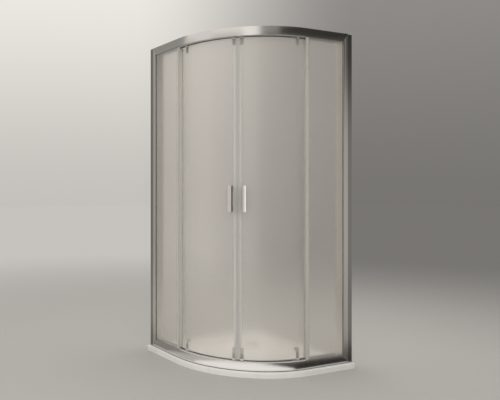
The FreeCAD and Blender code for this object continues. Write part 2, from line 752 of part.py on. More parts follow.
def make_post_screws():
    """The three screws that hold a post in its wall profile."""
    screws = []
    seat = from_edge(rail_back)
    for z in heights_up_a_post(d.post_screw_margin):
        head = rod(d.post_screw_head_radius, from_wall(d.post_screw_reach), seat, z, "Y",
                   d.post_screw_head_thickness)
        shank = rod(d.post_screw_radius, from_wall(d.post_screw_reach), seat - d.post_screw_depth, z, "Y",
                    d.post_screw_depth)
        screws.append(fused([head, shank]))
    return group(screws)


def make_screw_caps():
    """The cover caps over the heads of those screws."""
    caps = []
    seat = from_edge(rail_back)
    hollow = d.post_screw_head_thickness + d.profile_clearance
    for z in heights_up_a_post(d.post_screw_margin):
        outer = rod(d.screw_cap_radius, from_wall(d.post_screw_reach), seat, z, "Y",
                    hollow + d.screw_cap_wall)
        inner = rod(d.screw_cap_radius - d.screw_cap_wall, from_wall(d.post_screw_reach), seat, z, "Y",
                    hollow)
        caps.append(cut(outer, [inner]))
    return group(caps)


def make_connector():
    """The block in the end of the top rail's channel that takes the screws from the post."""
    tools = []
    for inset in rail_screw_insets():
        tools.append(rod(d.rail_screw_radius, from_wall(d.post_reach), from_edge(inset),
                         rail_screw_level(), "X", d.rail_screw_depth))
    body = block(from_wall(d.post_reach), from_wall(d.post_reach + d.connector_length),
                 from_edge(channel_start + d.connector_clearance),
                 from_edge(channel_end - d.connector_clearance),
                 top_rail_z + d.rail_wall + d.connector_clearance,
                 rail_end - d.rail_wall - d.connector_clearance)
    return cut(body, tools)


def make_rail_screws():
    """The two screws from a post into the end of the top rail."""
    screws = []
    seat = d.post_reach - d.rail_wall
    for inset in rail_screw_insets():
        head = rod(d.rail_screw_head_radius, from_wall(seat - d.rail_screw_head_thickness),
                   from_edge(inset), rail_screw_level(), "X", d.rail_screw_head_thickness)
        shank = rod(d.rail_screw_radius, from_wall(seat), from_edge(inset), rail_screw_level(), "X",
                    d.rail_wall + d.rail_screw_depth)
        screws.append(fused([head, shank]))
    return group(screws)


# ---------------------------------------------------------------- fixed panels

glass_foot = bottom_rail_z - d.glass_bite
glass_head = top_rail_z + d.glass_bite
fixed_glass_start = d.post_reach - d.post_pocket + d.post_glass_gap


def make_fixed_glass():
    """A flat pane from the post to its free edge."""
    return block(from_wall(fixed_glass_start), from_wall(fixed_glass_reach), from_edge(fixed_glass_out),
                 from_edge(fixed_glass_in), glass_foot, glass_head)


def make_rail_gasket(pane):
    """The gasket round the top edge of a pane, in the rail's slot."""
    wrap = block(from_wall(d.post_reach), from_wall(fixed_glass_reach),
                 from_edge(slot_start + d.gasket_clearance), from_edge(slot_end - d.gasket_clearance),
                 top_rail_z, glass_head + d.gasket_back)
    return cut(wrap, [pane])


def make_post_gasket(pane):
    """The gasket round the upright edge of a pane, in the post's pocket."""
    wrap = block(from_wall(d.post_reach - d.post_pocket + d.gasket_clearance), from_wall(d.post_reach),
                 from_edge(slot_start + d.gasket_clearance), from_edge(slot_end - d.gasket_clearance),
                 glass_foot, glass_head)
    return cut(wrap, [pane])


def make_panel_edge_seal(pane):
    """The clear seal pushed on to the free edge of a pane."""
    low = bottom_rail_z + d.seal_end_clearance
    high = top_rail_z - d.seal_end_clearance
    wrap = block(from_wall(fixed_glass_reach - d.seal_grip),
                 from_wall(fixed_glass_reach + d.edge_seal_nose),
                 from_edge(fixed_glass_out - d.seal_wall), from_edge(fixed_glass_in + d.seal_wall),
                 low, high)
    return cut(wrap, [pane])


# ---------------------------------------------------------------- doors

def clamp_levels():
    """Levels of the two clamp screws of a top bracket."""
    first = door_glass_top - d.clamp_first
    return [first, first - d.clamp_pitch]


def make_bracket(plate_length):
    """A top bracket in the door's own frame: stem through the slot, step under the rail, plate."""
    body = doc.addObject("PartDesign::Body", "Body")
    half_stem = d.stem_thickness / 2
    step_high = top_rail_z - d.bracket_drop
    step_low = step_high - d.stem_thickness
    plate_low = door_glass_top - plate_length
    stem_top = axle_height + d.stem_top_margin
    hook = [(stem_radius + half_stem, step_low), (stem_radius + half_stem, step_high),
            (plate_in_radius, step_high), (plate_in_radius, plate_low), (plate_out_radius, plate_low),
            (plate_out_radius, step_low)]
    wide = new_sketch(body, "XZ_Plane", -d.bracket_width / 2)
    draw_outline(wide, hook)
    add_pad(body, wide, d.bracket_width)
    stem = rectangle(stem_radius - half_stem, stem_radius + half_stem, step_low, stem_top)
    narrow = new_sketch(body, "XZ_Plane", -d.stem_width / 2)
    draw_outline(narrow, stem)
    add_pad(body, narrow, d.stem_width)
    tools = [rod(d.axle_radius, stem_radius - d.stem_thickness, NOUGHT, axle_height, "X",
                 d.stem_thickness * 2)]
    for level in clamp_levels():
        tools.append(rod(d.clamp_shank_radius + d.clamp_hole_clearance,
                         plate_in_radius - d.stem_thickness, NOUGHT, level, "X", d.stem_thickness * 2))
    return cut(body, tools)


def make_axle():
    """A wheel axle in the door's own frame, with a head at each end."""
    grip = axle_half - d.axle_head_thickness
    corners = [(-axle_half, NOUGHT), (axle_half, NOUGHT), (axle_half, d.axle_head_radius),
               (grip, d.axle_head_radius), (grip, d.axle_radius), (-grip, d.axle_radius),
               (-grip, d.axle_head_radius), (-axle_half, d.axle_head_radius)]
    return put(revolved(corners, "H_Axis"), stem_radius, NOUGHT, axle_height)


def make_wheel(centre):
    """One wheel on the axle of a top carriage, in the door's own frame."""
    half = d.wheel_width / 2
    bore = d.axle_radius + d.axle_fit
    shoulder = d.wheel_radius - d.wheel_edge_chamfer
    tread = half - d.wheel_edge_chamfer
    corners = [(-half, bore), (half, bore), (half, shoulder), (tread, d.wheel_radius),
               (-tread, d.wheel_radius), (-half, shoulder)]
    return put(revolved(corners, "H_Axis"), centre, NOUGHT, axle_height)


def make_wheel_pair(angle):
    """The two wheels of a top carriage, one each side of the bracket's stem."""
    pair = group([make_wheel(stem_radius + wheel_centre), make_wheel(stem_radius - wheel_centre)])
    return on_curve(pair, angle)


def make_clamp_screws(angle):
    """The two screws that clamp a top bracket to the glass: flat head outside, shank through both."""
    screws = []
    tail = plate_in_radius - d.clamp_nut_thickness
    for level in clamp_levels():
        seat = glass_out_radius
        head = rod(d.clamp_cap_radius, seat, NOUGHT, level, "X", d.clamp_cap_thickness)
        shank = rod(d.clamp_shank_radius, tail, NOUGHT, level, "X", seat - tail)
        screws.append(fused([head, shank]))
    return on_curve(group(screws), angle)


def make_clamp_nuts(angle):
    """The nuts of those screws, on the inner side of the bracket."""
    nuts = []
    tail = plate_in_radius - d.clamp_nut_thickness
    for level in clamp_levels():
        body = rod(d.clamp_nut_radius, tail, NOUGHT, level, "X", d.clamp_nut_thickness)
        thread = rod(d.clamp_shank_radius, tail, NOUGHT, level, "X", d.clamp_nut_thickness)
        nuts.append(cut(body, [thread]))
    return on_curve(group(nuts), angle)


def clamp_holes(angle):
    """Tools for the holes in the glass behind a top bracket's screws."""
    holes = []
    for level in clamp_levels():
        holes.append(rod(d.clamp_shank_radius + d.clamp_hole_clearance,
                         glass_in_radius - d.glass_thickness, NOUGHT, level, "X", d.glass_thickness * 3))
    return on_curve(group(holes), angle)


handle_angle = middle_angle - arc_angle(d.handle_edge, stem_radius)


def handle_screw_levels():
    """Levels of a handle's two screws."""
    middle = d.tray_height + d.handle_middle
    return [middle - d.handle_screw_spacing / 2, middle + d.handle_screw_spacing / 2]


def make_door_glass():
    """The curved pane of the left door, with the holes for its brackets and handle."""
    pane = sector(glass_in_radius, glass_out_radius, glass_trail_angle, glass_lead_angle,
                  door_glass_bottom, door_glass_top)
    tools = []
    for angle in (lead_angle, trail_angle):
        top = clamp_holes(angle)
        tools.append(top)
        tools.append(other_end(top))
    handle_holes = [rod(d.handle_screw_radius + d.clamp_hole_clearance, glass_in_radius - d.glass_thickness,
                        -d.handle_web / 2, level, "X", d.glass_thickness * 3)
                    for level in handle_screw_levels()]
    tools.append(on_curve(group(handle_holes), handle_angle))
    return cut(pane, tools)


def make_handle():
    """The left handle: a web square to the glass, and a front that is gripped from behind."""
    foot = glass_out_radius + d.handle_seat_gap
    front = glass_out_radius + d.handle_projection
    low = d.tray_height + d.handle_middle - d.handle_length / 2
    high = low + d.handle_length
    width = d.handle_face_width
    curve = d.handle_round
    corners = [(foot, -d.handle_web), (foot, NOUGHT), (front - curve, NOUGHT), (front, -curve),
               (front, curve - width), (front - curve, -width), (front - d.handle_sheet, -width),
               (front - d.handle_sheet, -d.handle_web)]
    arcs = {2: (front - curve, -curve, curve), 4: (front - curve, curve - width, curve)}
    bar = padded(corners, low, high, arcs)
    tools = [rod(d.handle_screw_radius, foot, -d.handle_web / 2, level, "X", d.handle_screw_depth)
             for level in handle_screw_levels()]
    return on_curve(cut(bar, tools), handle_angle)


def make_handle_screws():
    """The two screws of a handle, with wide heads on the inner side of the glass."""
    screws = []
    seat = glass_in_radius - d.bracket_glass_gap
    for level in handle_screw_levels():
        head = rod(d.handle_washer_radius, seat - d.handle_washer_thickness, -d.handle_web / 2, level, "X",
                   d.handle_washer_thickness)
        shank = rod(d.handle_screw_radius, seat, -d.handle_web / 2, level, "X",
                    glass_out_radius + d.handle_seat_gap + d.handle_screw_depth - seat)
        screws.append(fused([head, shank]))
    return on_curve(group(screws), handle_angle)


def from_middle(length):
    """Angle of a place this far, along the door, from the middle of the curve."""
    return middle_angle - arc_angle(length, stem_radius)


def make_magnet_strip():
    """The magnet in the left door's leading seal."""
    low, high = magnet_seal_levels()
    centre = (glass_in_radius + glass_out_radius) / 2
    near = d.meeting_gap / 2 + d.seal_wall
    far = near + d.magnet_width
    return sector(centre - d.magnet_depth / 2, centre + d.magnet_depth / 2, from_middle(far),
                  from_middle(near), low, high)


def magnet_seal_levels():
    """Lower and upper end of the magnet seals, between the brackets."""
    low = door_glass_bottom + d.bottom_plate_length + d.seal_end_clearance
    high = door_glass_top - d.top_plate_length - d.seal_end_clearance
    return low, high


def make_magnet_seal(magnet):
    """The clear seal on the left door's leading edge, which holds the magnet."""
    low, high = magnet_seal_levels()
    grip_end = d.door_glass_edge + d.seal_grip
    wrap = sector(glass_in_radius - d.seal_wall, glass_out_radius + d.seal_wall, from_middle(grip_end),
                  from_middle(d.meeting_gap / 2), low, high)
    pane = sector(glass_in_radius, glass_out_radius, from_middle(grip_end), glass_lead_angle, low, high)
    return cut(wrap, [pane, magnet])


def make_seal_blocks():
    """The end blocks above and below a magnet seal, against the edge of the glass."""
    low, high = magnet_seal_levels()
    upper = sector(glass_in_radius, glass_out_radius, glass_lead_angle, from_middle(d.meeting_gap / 2),
                   high + d.seal_end_clearance, door_glass_top)
    lower = sector(glass_in_radius, glass_out_radius, glass_lead_angle, from_middle(d.meeting_gap / 2),
                   door_glass_bottom, low - d.seal_end_clearance)
    return group([upper, lower])


def make_trailing_seal():
    """The clear seal on the left door's trailing edge, with a lip towards the fixed pane."""
    clip_end = glass_trail_angle + arc_angle(d.seal_grip, stem_radius)
    back = glass_trail_angle - arc_angle(d.seal_wall, stem_radius)
    lip_end = back + arc_angle(d.lip_thickness, stem_radius)
    lip_radius = d.tray_radius - fixed_glass_in - d.lip_clearance
    grip = glass_out_radius + d.seal_wall
    wrap = sector(glass_in_radius - d.seal_wall, grip, back, clip_end, door_glass_bottom, door_glass_top)
    pane = sector(glass_in_radius, glass_out_radius, glass_trail_angle, clip_end, door_glass_bottom,
                  door_glass_top)
    lip = sector(glass_out_radius, lip_radius, back, lip_end, door_glass_bottom, door_glass_top)
    lip_free = cut(lip, [pane])
    return fused([cut(wrap, [pane]), lip_free])


# ---------------------------------------------------------------- release buttons of the bottom carriages

release_level = door_glass_top - d.bottom_plate_length + d.release_width / 2


def make_release_housing(angle):
    """A release housing, at a top bracket's place until it is mirrored to the bottom rail."""
    half = d.release_width / 2
    front = plate_in_radius - d.release_depth
    shell = block(front, plate_in_radius, -half, half, release_level - half, release_level + half)
    chamber = rod(d.release_flange_radius + d.release_clearance, front + d.release_front, NOUGHT,
                  release_level, "X", d.release_depth - d.release_front)
    mouth = rod(d.release_button_radius + d.release_clearance, front - d.release_front, NOUGHT,
                release_level, "X", d.release_front * 3)
    return on_curve(cut(shell, [chamber, mouth]), angle)


def make_release_button(angle):
    """A push button that stands in front of its housing."""
    inner_wall = plate_in_radius - d.release_depth + d.release_front + d.release_clearance
    tip = plate_in_radius - d.release_depth - d.release_proud
    flange = rod(d.release_flange_radius, inner_wall, NOUGHT, release_level, "X",
                 d.release_flange_thickness)
    stem = rod(d.release_button_radius, tip, NOUGHT, release_level, "X", inner_wall - tip)
    return on_curve(fused([flange, stem]), angle)


# ---------------------------------------------------------------- stops in the top rail

def make_open_stop():
    """The stop that the trailing wheels meet when the left door is open."""
    wheel_front = d.open_carriage_reach - d.wheel_radius
    high_reach = wheel_front - wheel_far * sin_of(d.carriage_turn_angle) - d.stop_clearance
    ledge = top_rail_z + d.rail_wall
    return block(from_wall(high_reach - d.stop_length), from_wall(high_reach),
                 from_edge(channel_start), from_edge(ledge_edge_out), ledge, ledge + d.stop_height)


def make_middle_stop():
    """The stop between the two doors' leading wheels."""
    room = d.lead_carriage - d.wheel_radius - d.stop_clearance
    ledge = top_rail_z + d.rail_wall
    span = arc_angle(room, stem_radius)
    return sector(d.tray_radius - ledge_edge_out, d.tray_radius - channel_start, middle_angle - span,
                  middle_angle + span, ledge, ledge + d.stop_height)


# ---------------------------------------------------------------- assembly

def build_fixed_parts():
    """Everything that stands still."""
    node("shower_tray", make_tray())
    node("waste_body", make_waste())
    node("waste_cover", make_waste_cover())
    rail = make_rail()
    node("top_rail", rail)
    node("bottom_rail", other_end(rail))
    filler = make_slot_filler()
    node("slot_fillers", group([filler, other_end(filler)]))
    both_sides("wall_profile", make_wall_profile())
    both_sides("side_post", make_side_post())
    cap = make_post_cap()
    node("post_caps", group([cap, other_side(cap)]))
    caps = make_screw_caps()
    node("screw_caps", group([caps, other_side(caps)]))
    connector = make_connector()
    both_sides("corner_connectors", group([connector, other_end(connector)]))
    corner = make_rail_screws()
    left = group([corner, other_end(corner), make_post_screws()])
    node("frame_screws", group([left, other_side(left)]))
    pane = make_fixed_glass()
    both_sides("fixed_glass", pane)
    gasket = make_rail_gasket(pane)
    both_sides("rail_glazing_gaskets", group([gasket, other_end(gasket)]))
    both_sides("post_glazing_gasket", make_post_gasket(pane))
    both_sides("panel_edge_seal", make_panel_edge_seal(pane))
    stop = make_open_stop()
    node("door_stops", group([stop, other_side(stop), make_middle_stop()]))


def build_doors():
    """The two doors, with everything that slides along with them."""
    angles = {"leading": lead_angle, "trailing": trail_angle}
    both_sides("door_glass", make_door_glass())
    both_sides("door_handle", make_handle())
    both_sides("handle_screws", make_handle_screws())
    magnet = make_magnet_strip()
    both_sides("magnet_strip", magnet)
    both_sides("magnet_seal", make_magnet_seal(magnet))
    both_sides("seal_end_blocks", make_seal_blocks())
    both_sides("trailing_seal", make_trailing_seal())
    both_sides("top_brackets", group([on_curve(make_bracket(d.top_plate_length), angle)
                                      for angle in angles.values()]))
    both_sides("bottom_brackets", other_end(group([on_curve(make_bracket(d.bottom_plate_length), angle)
                                                   for angle in angles.values()])))
    axles = group([on_curve(group([make_axle()]), angle) for angle in angles.values()])
    both_sides("wheel_axles", group([axles, other_end(axles)]))
    clamps = []
    for angle in angles.values():
        clamps += [make_clamp_screws(angle), make_clamp_nuts(angle)]
    clamps = group(clamps)
    both_sides("clamp_screws", group([clamps, other_end(clamps)]))
    both_sides("release_housings", other_end(group([make_release_housing(angle)
                                                    for angle in angles.values()])))
    for place, angle in angles.items():
        wheels = make_wheel_pair(angle)
        both_sides(f"top_{place}_wheels", wheels)
        both_sides(f"bottom_{place}_wheels", other_end(wheels))
        both_sides(f"{place}_release_button", other_end(make_release_button(angle)))


def check_and_export():
    """Stop on any failed object or shape, then write one file for each node."""
    doc.recompute()
    for item in doc.Objects:
        if "Invalid" in item.State or "Error" in item.State:
            raise RuntimeError(f"{item.Name} ({item.Label}) failed: {item.getStatusString()}")
    for name, item in nodes.items():
        if item.Shape.isNull() or not item.Shape.isValid():
            raise RuntimeError(f"{name} has no valid shape")
        if not item.Shape.Solids:
            raise RuntimeError(f"{name} holds no solid")
    os.makedirs("parts", exist_ok=True)
    for name, item in nodes.items():
        item.Shape.exportStep(f"parts/{name}.step")
        box = item.Shape.optimalBoundingBox(False)
        print(f"{name:28s} {len(item.Shape.Solids):2d} solids  volume {item.Shape.Volume:12.1f}  "
              f"x {box.XMin:8.2f} {box.XMax:8.2f}  y {box.YMin:8.2f} {box.YMax:8.2f}  "
              f"z {box.ZMin:8.2f} {box.ZMax:8.2f}")
    print(len(nodes), "nodes")


build_fixed_parts()
build_doors()
check_and_export()
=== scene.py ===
"""Looks of a quadrant shower enclosure: its finishes, its drawn and turned metalwork, studio and camera.

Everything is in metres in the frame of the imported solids: +Z up, the floor at z = 0, the wall profiles at
the lowest x and at the highest y, and the curved front facing +X and -Y.  The right-hand half is the mirror
image of the left-hand half in the upright plane through the middle of the curve.  A place on a door is
written in the door's own terms: its radius from the centre of the curve, its angle round that centre, and
its level above the floor.
"""

from __future__ import annotations

import json
import logging
import math
from dataclasses import dataclass, field
from enum import Enum
from typing import Any, Mapping, Sequence

import bmesh
import bpy
import numpy as np
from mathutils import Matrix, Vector

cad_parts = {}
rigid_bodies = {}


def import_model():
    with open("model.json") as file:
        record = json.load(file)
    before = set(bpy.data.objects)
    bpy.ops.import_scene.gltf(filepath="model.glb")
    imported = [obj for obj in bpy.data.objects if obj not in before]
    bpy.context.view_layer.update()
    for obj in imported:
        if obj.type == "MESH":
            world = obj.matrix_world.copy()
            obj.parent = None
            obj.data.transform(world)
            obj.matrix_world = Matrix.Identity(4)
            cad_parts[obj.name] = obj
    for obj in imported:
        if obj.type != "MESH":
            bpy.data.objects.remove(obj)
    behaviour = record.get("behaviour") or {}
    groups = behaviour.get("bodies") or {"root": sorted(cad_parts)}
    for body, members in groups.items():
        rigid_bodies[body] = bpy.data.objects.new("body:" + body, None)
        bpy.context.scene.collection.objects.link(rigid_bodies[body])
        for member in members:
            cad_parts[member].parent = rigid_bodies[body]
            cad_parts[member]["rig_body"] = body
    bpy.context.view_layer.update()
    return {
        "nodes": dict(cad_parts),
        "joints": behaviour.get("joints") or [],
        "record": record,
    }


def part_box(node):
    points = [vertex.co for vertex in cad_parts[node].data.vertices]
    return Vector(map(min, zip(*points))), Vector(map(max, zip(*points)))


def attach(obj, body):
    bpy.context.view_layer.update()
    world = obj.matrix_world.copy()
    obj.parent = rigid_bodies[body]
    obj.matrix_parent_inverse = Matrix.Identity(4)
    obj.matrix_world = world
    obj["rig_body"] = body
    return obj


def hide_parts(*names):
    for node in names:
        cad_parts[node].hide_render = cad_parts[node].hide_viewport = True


LOG = logging.getLogger("enclosure")

Colour = tuple[float, float, float]
Place = tuple[float, float, float]
Span = tuple[float, float]
Profile = tuple[tuple[float, float], ...]

UPWARDS: Place = (0.0, 0.0, 1.0)
WHITE: Colour = (1.0, 1.0, 1.0)


class Side(Enum):
    """The two mirrored halves of the enclosure."""

    LEFT = "left"
    RIGHT = "right"


class Level(Enum):
    """The two rails, which are mirror images about the middle of the frame's height."""

    TOP = "top"
    BOTTOM = "bottom"


class Grain(Enum):
    """How the drawing lines of an extrusion run."""

    UPRIGHT = "upright"
    ALONG = "along"


def toned(colour: Colour, share: float) -> Colour:
    """A colour with each of its parts times a share."""
    return tuple(share * part for part in colour)


def in_scene(name: str, data: bpy.types.ID) -> bpy.types.Object:
    """Put a mesh, a lamp or a camera into the scene.

    Args:
        name: the object's name.
        data: what the object holds.

    Returns:
        The new object.
    """
    made = bpy.data.objects.new(name, data)
    bpy.context.scene.collection.objects.link(made)
    return made


# ------------------------------------------------------------------------------------------- shader maths


class Wire:
    """A shader socket that takes part in arithmetic: every operation adds one Math node."""

    def __init__(self, graph: Graph, socket: bpy.types.NodeSocket) -> None:
        """Keep the socket together with the graph that it belongs to."""
        self.graph = graph
        self.socket = socket

    def __add__(self, other: Wire | float) -> Wire:
        """Sum."""
        return self.graph.math("ADD", self, other)

    def __sub__(self, other: Wire | float) -> Wire:
        """Difference."""
        return self.graph.math("SUBTRACT", self, other)

    def __rsub__(self, other: float) -> Wire:
        """Difference with a plain number first."""
        return self.graph.math("SUBTRACT", other, self)

    def __mul__(self, other: Wire | float) -> Wire:
        """Product."""
        return self.graph.math("MULTIPLY", self, other)

    __radd__ = __add__
    __rmul__ = __mul__


class Graph:
    """The node tree of one material or world."""

    MIX_SHARE, MIX_FIRST, MIX_SECOND = 0, 6, 7
    MIX_COLOUR = 2

    def __init__(self, owner: bpy.types.Material | bpy.types.World) -> None:
        """Start with an empty tree.

        Args:
            owner: the material or world that gets the nodes.
        """
        owner.use_nodes = True
        self.tree = owner.node_tree
        self.tree.nodes.clear()

    def add(self, kind: str, settings: Mapping[str, Any] | None = None,
            inputs: Mapping[str | int, Any] | None = None) -> bpy.types.Node:
        """Add one node.

        Args:
            kind: the node's type, without its ShaderNode prefix.
            settings: the node's own properties, set before its sockets.
            inputs: a value or a Wire for each socket, by name or by number.

        Returns:
            The new node.
        """
        node = self.tree.nodes.new("ShaderNode" + kind)
        for key, value in (settings or {}).items():
            setattr(node, key, value)
        for key, value in (inputs or {}).items():
            socket = node.inputs[key]
            if isinstance(value, Wire):
                self.tree.links.new(value.socket, socket)
            elif socket.type == "RGBA":
                socket.default_value = (*value, 1.0)
            else:
                socket.default_value = value
        return node

    def out(self, node: bpy.types.Node, name: str | int = 0) -> Wire:
        """One output of a node."""
        return Wire(self, node.outputs[name])

    def math(self, operation: str, *values: Wire | float) -> Wire:
        """One Math node on numbers."""
        return self.out(self.add("Math", {"operation": operation}, dict(enumerate(values))))

    def mix(self, share: Wire | float, first: Any, second: Any, blend: str = "MIX") -> Wire:
        """A colour between two colours; share 0 gives the first."""
        node = self.add("Mix", {"data_type": "RGBA", "blend_type": blend},
                        {self.MIX_SHARE: share, self.MIX_FIRST: first, self.MIX_SECOND: second})
        return self.out(node, self.MIX_COLOUR)

    def dot(self, first: Wire, second: Any) -> Wire:
        """The dot product of two vectors."""
        node = self.add("VectorMath", {"operation": "DOT_PRODUCT"}, {0: first, 1: second})
        return self.out(node, "Value")

    def between(self, value: Wire, low: float, high: float) -> Wire:
        """A smooth step of a value, 0 below low and 1 above high."""
        node = self.add("MapRange", {"interpolation_type": "SMOOTHSTEP"},
                        {"Value": value, "From Min": low, "From Max": high})
        return self.out(node, "Result")

    def direction(self, vector: Wire) -> Wire:
        """The unit vector along a vector."""
        return self.out(self.add("VectorMath", {"operation": "NORMALIZE"}, {0: vector}))

    def place(self) -> Wire:
        """The object's own coordinates, which are the frame's."""
        return self.out(self.add("TexCoord"), "Object")

    def normal(self) -> Wire:
        """The direction that the surface faces."""
        return self.out(self.add("NewGeometry"), "Normal")

    def scaled(self, vector: Wire, scale: Place) -> Wire:
        """A vector stretched along its axes."""
        return self.out(self.add("Mapping", None, {"Vector": vector, "Scale": scale}))

    def noise(self, vector: Wire, scale: float, detail: float = 2.0) -> Wire:
        """Smooth noise about 0.5."""
        inputs = {"Vector": vector, "Scale": scale, "Detail": detail}
        return self.out(self.add("TexNoise", None, inputs), "Fac")

    def bump(self, height: Wire, distance: float, strength: float = 1.0) -> Wire:
        """A normal from a height in metres times its distance."""
        inputs = {"Height": height, "Distance": distance, "Strength": strength}
        return self.out(self.add("Bump", None, inputs))

    def principled(self, inputs: Mapping[str, Any]) -> Wire:
        """A Principled surface."""
        return self.out(self.add("BsdfPrincipled", None, inputs))

    def glow(self, colour: Wire | Colour) -> Wire:
        """A surface that shows its colour as it is written, in any light."""
        return self.out(self.add("Emission", None, {"Color": colour, "Strength": 1.0}))

    def either(self, share: Wire, first: Wire, second: Wire) -> Wire:
        """A surface between two surfaces; share 0 gives the first."""
        return self.out(self.add("MixShader", None, {0: share, 1: first, 2: second}))

    def lets_lamps_through(self, surface: Wire, tint: Colour) -> Wire:
        """The same surface, but clear and tinted for the light that lamps send through it."""
        clear = self.out(self.add("BsdfTransparent", None, {"Color": tint}))
        return self.either(self.out(self.add("LightPath"), "Is Shadow Ray"), surface, clear)

    def finish(self, surface: Wire) -> None:
        """End a material with its surface shader."""
        self.add("OutputMaterial", None, {"Surface": surface})


# ------------------------------------------------------------------------------------------------ finishes


@dataclass(frozen=True)
class Finish:
    """What every finish has: a name, its colour and its roughness.

    In the finishes below, a scale is in cycles a metre, a depth is in metres, and a change is how far noise
    moves the roughness.
    """

    name: str
    colour: Colour
    roughness: float

    def material(self) -> bpy.types.Material:
        """Make the finish's material.

        Returns:
            The new material.
        """
        made = bpy.data.materials.new(self.name)
        self.shade(Graph(made))
        return made

    def shade(self, graph: Graph) -> None:
        """Draw the finish into an empty graph."""
        raise NotImplementedError


@dataclass(frozen=True)
class DrawnAluminium(Finish):
    """Bright anodised extrusion: fine lines along its length, and faint hand marks.

    The lines are noise stretched along the extrusion, and they vary colour, roughness and height alike.
    """

    grain: Grain = Grain.UPRIGHT
    line_pitch: float = 0.0009
    line_length: float = 0.6
    line_depth: float = 0.00003
    line_strength: float = 0.6
    line_change: float = 0.07
    line_tone: float = 0.90
    mark_scale: float = 11.0
    mark_change: float = 0.05

    def shade(self, graph: Graph) -> None:
        """Draw the finish; along a rail its lines follow the length of the piece's own map.

        Args:
            graph: the material's empty graph.
        """
        across, along = 1 / self.line_pitch, 1 / self.line_length
        if self.grain is Grain.ALONG:
            stretched = graph.scaled(graph.out(graph.add("UVMap")), (along, across, 1.0))
        else:
            stretched = graph.scaled(graph.place(), (across, across, along))
        lines = graph.noise(stretched, 1.0, detail=3.0)
        marks = graph.noise(graph.place(), self.mark_scale, detail=4.0)
        graph.finish(graph.principled({
            "Base Color": graph.mix(lines, toned(self.colour, self.line_tone), self.colour),
            "Metallic": 1.0,
            "Roughness": (self.roughness + (lines - 0.5) * self.line_change
                          + (marks - 0.5) * self.mark_change),
            "Normal": graph.bump(lines, self.line_depth, self.line_strength),
        }))


@dataclass(frozen=True)
class PolishedChrome(Finish):
    """Mirror plate with a slight ripple, and faint smears that catch the light."""

    smear_scale: float = 38.0
    smear_span: Span = (0.45, 0.75)
    smear_tone: float = 0.93
    smear_change: float = 0.07
    ripple_scale: float = 70.0
    ripple_depth: float = 0.00002

    def shade(self, graph: Graph) -> None:
        """Draw the finish.

        Args:
            graph: the material's empty graph.
        """
        smears = self.smears(graph)
        graph.finish(graph.principled({
            "Base Color": graph.mix(smears, self.colour, toned(self.colour, self.smear_tone)),
            "Metallic": 1.0,
            "Roughness": self.roughness + smears * self.smear_change,
            "Normal": self.ripple(graph),
        }))

    def smears(self, graph: Graph) -> Wire:
        """Where the plate is smeared: 1 on a smear."""
        return graph.between(graph.noise(graph.place(), self.smear_scale, detail=5.0), *self.smear_span)

    def ripple(self, graph: Graph) -> Wire:
        """The normal of the slightly uneven plate."""
        return graph.bump(graph.noise(graph.place(), self.ripple_scale, detail=1.0), self.ripple_depth)


@dataclass(frozen=True)
class GripPlate(PolishedChrome):
    """The grips' plated sheet: mirror-bright on its face, with painted shade on its flanks.

    A flank is told from the face by its normal, which lies across the line from the middle of the curve.
    """

    smear_scale: float = 45.0
    smear_change: float = 0.06
    centre: tuple[float, float] = (-0.1, 0.1)
    # Painted shade: a dark colour on the flanks that stands in for their shade and dark reflections.
    flank_painted_shade: Colour = (0.21, 0.20, 0.19)
    flank_change: float = 0.22
    face_span: Span = (0.25, 0.7)

    def shade(self, graph: Graph) -> None:
        """Draw the finish.

        Args:
            graph: the material's empty graph.
        """
        from_centre = graph.out(graph.add("Mapping", None, {
            "Vector": graph.place(), "Location": (-self.centre[0], -self.centre[1], 0.0),
            "Scale": (1.0, 1.0, 0.0)}))
        # Painted shade: the flanks, told by their normal, take the dark flank colour in place of their shade
        # and dark reflections.
        facing = graph.math("ABSOLUTE", graph.dot(graph.normal(), graph.direction(from_centre)))
        face = graph.between(facing, *self.face_span)
        smears = self.smears(graph)
        bright = graph.mix(smears, self.colour, toned(self.colour, self.smear_tone))
        graph.finish(graph.principled({
            "Base Color": graph.mix(face, self.flank_painted_shade, bright),
            "Metallic": 1.0,
            "Roughness": self.roughness + smears * self.smear_change + (1 - face) * self.flank_change,
            "Normal": self.ripple(graph),
        }))


@dataclass(frozen=True)
class BrushedSheet(Finish):
    """Stainless sheet or bar with short level brush marks."""

    brush_scale: Place = (60.0, 60.0, 2200.0)
    brush_tone: float = 0.86
    brush_change: float = 0.2
    brush_depth: float = 0.00003

    def shade(self, graph: Graph) -> None:
        """Draw the finish.

        Args:
            graph: the material's empty graph.
        """
        brush = graph.noise(graph.scaled(graph.place(), self.brush_scale), 1.0, detail=4.0)
        graph.finish(graph.principled({
            "Base Color": graph.mix(brush, toned(self.colour, self.brush_tone), self.colour),
            "Metallic": 1.0,
            "Roughness": self.roughness + (brush - 0.5) * self.brush_change,
            "Normal": graph.bump(brush, self.brush_depth),
        }))


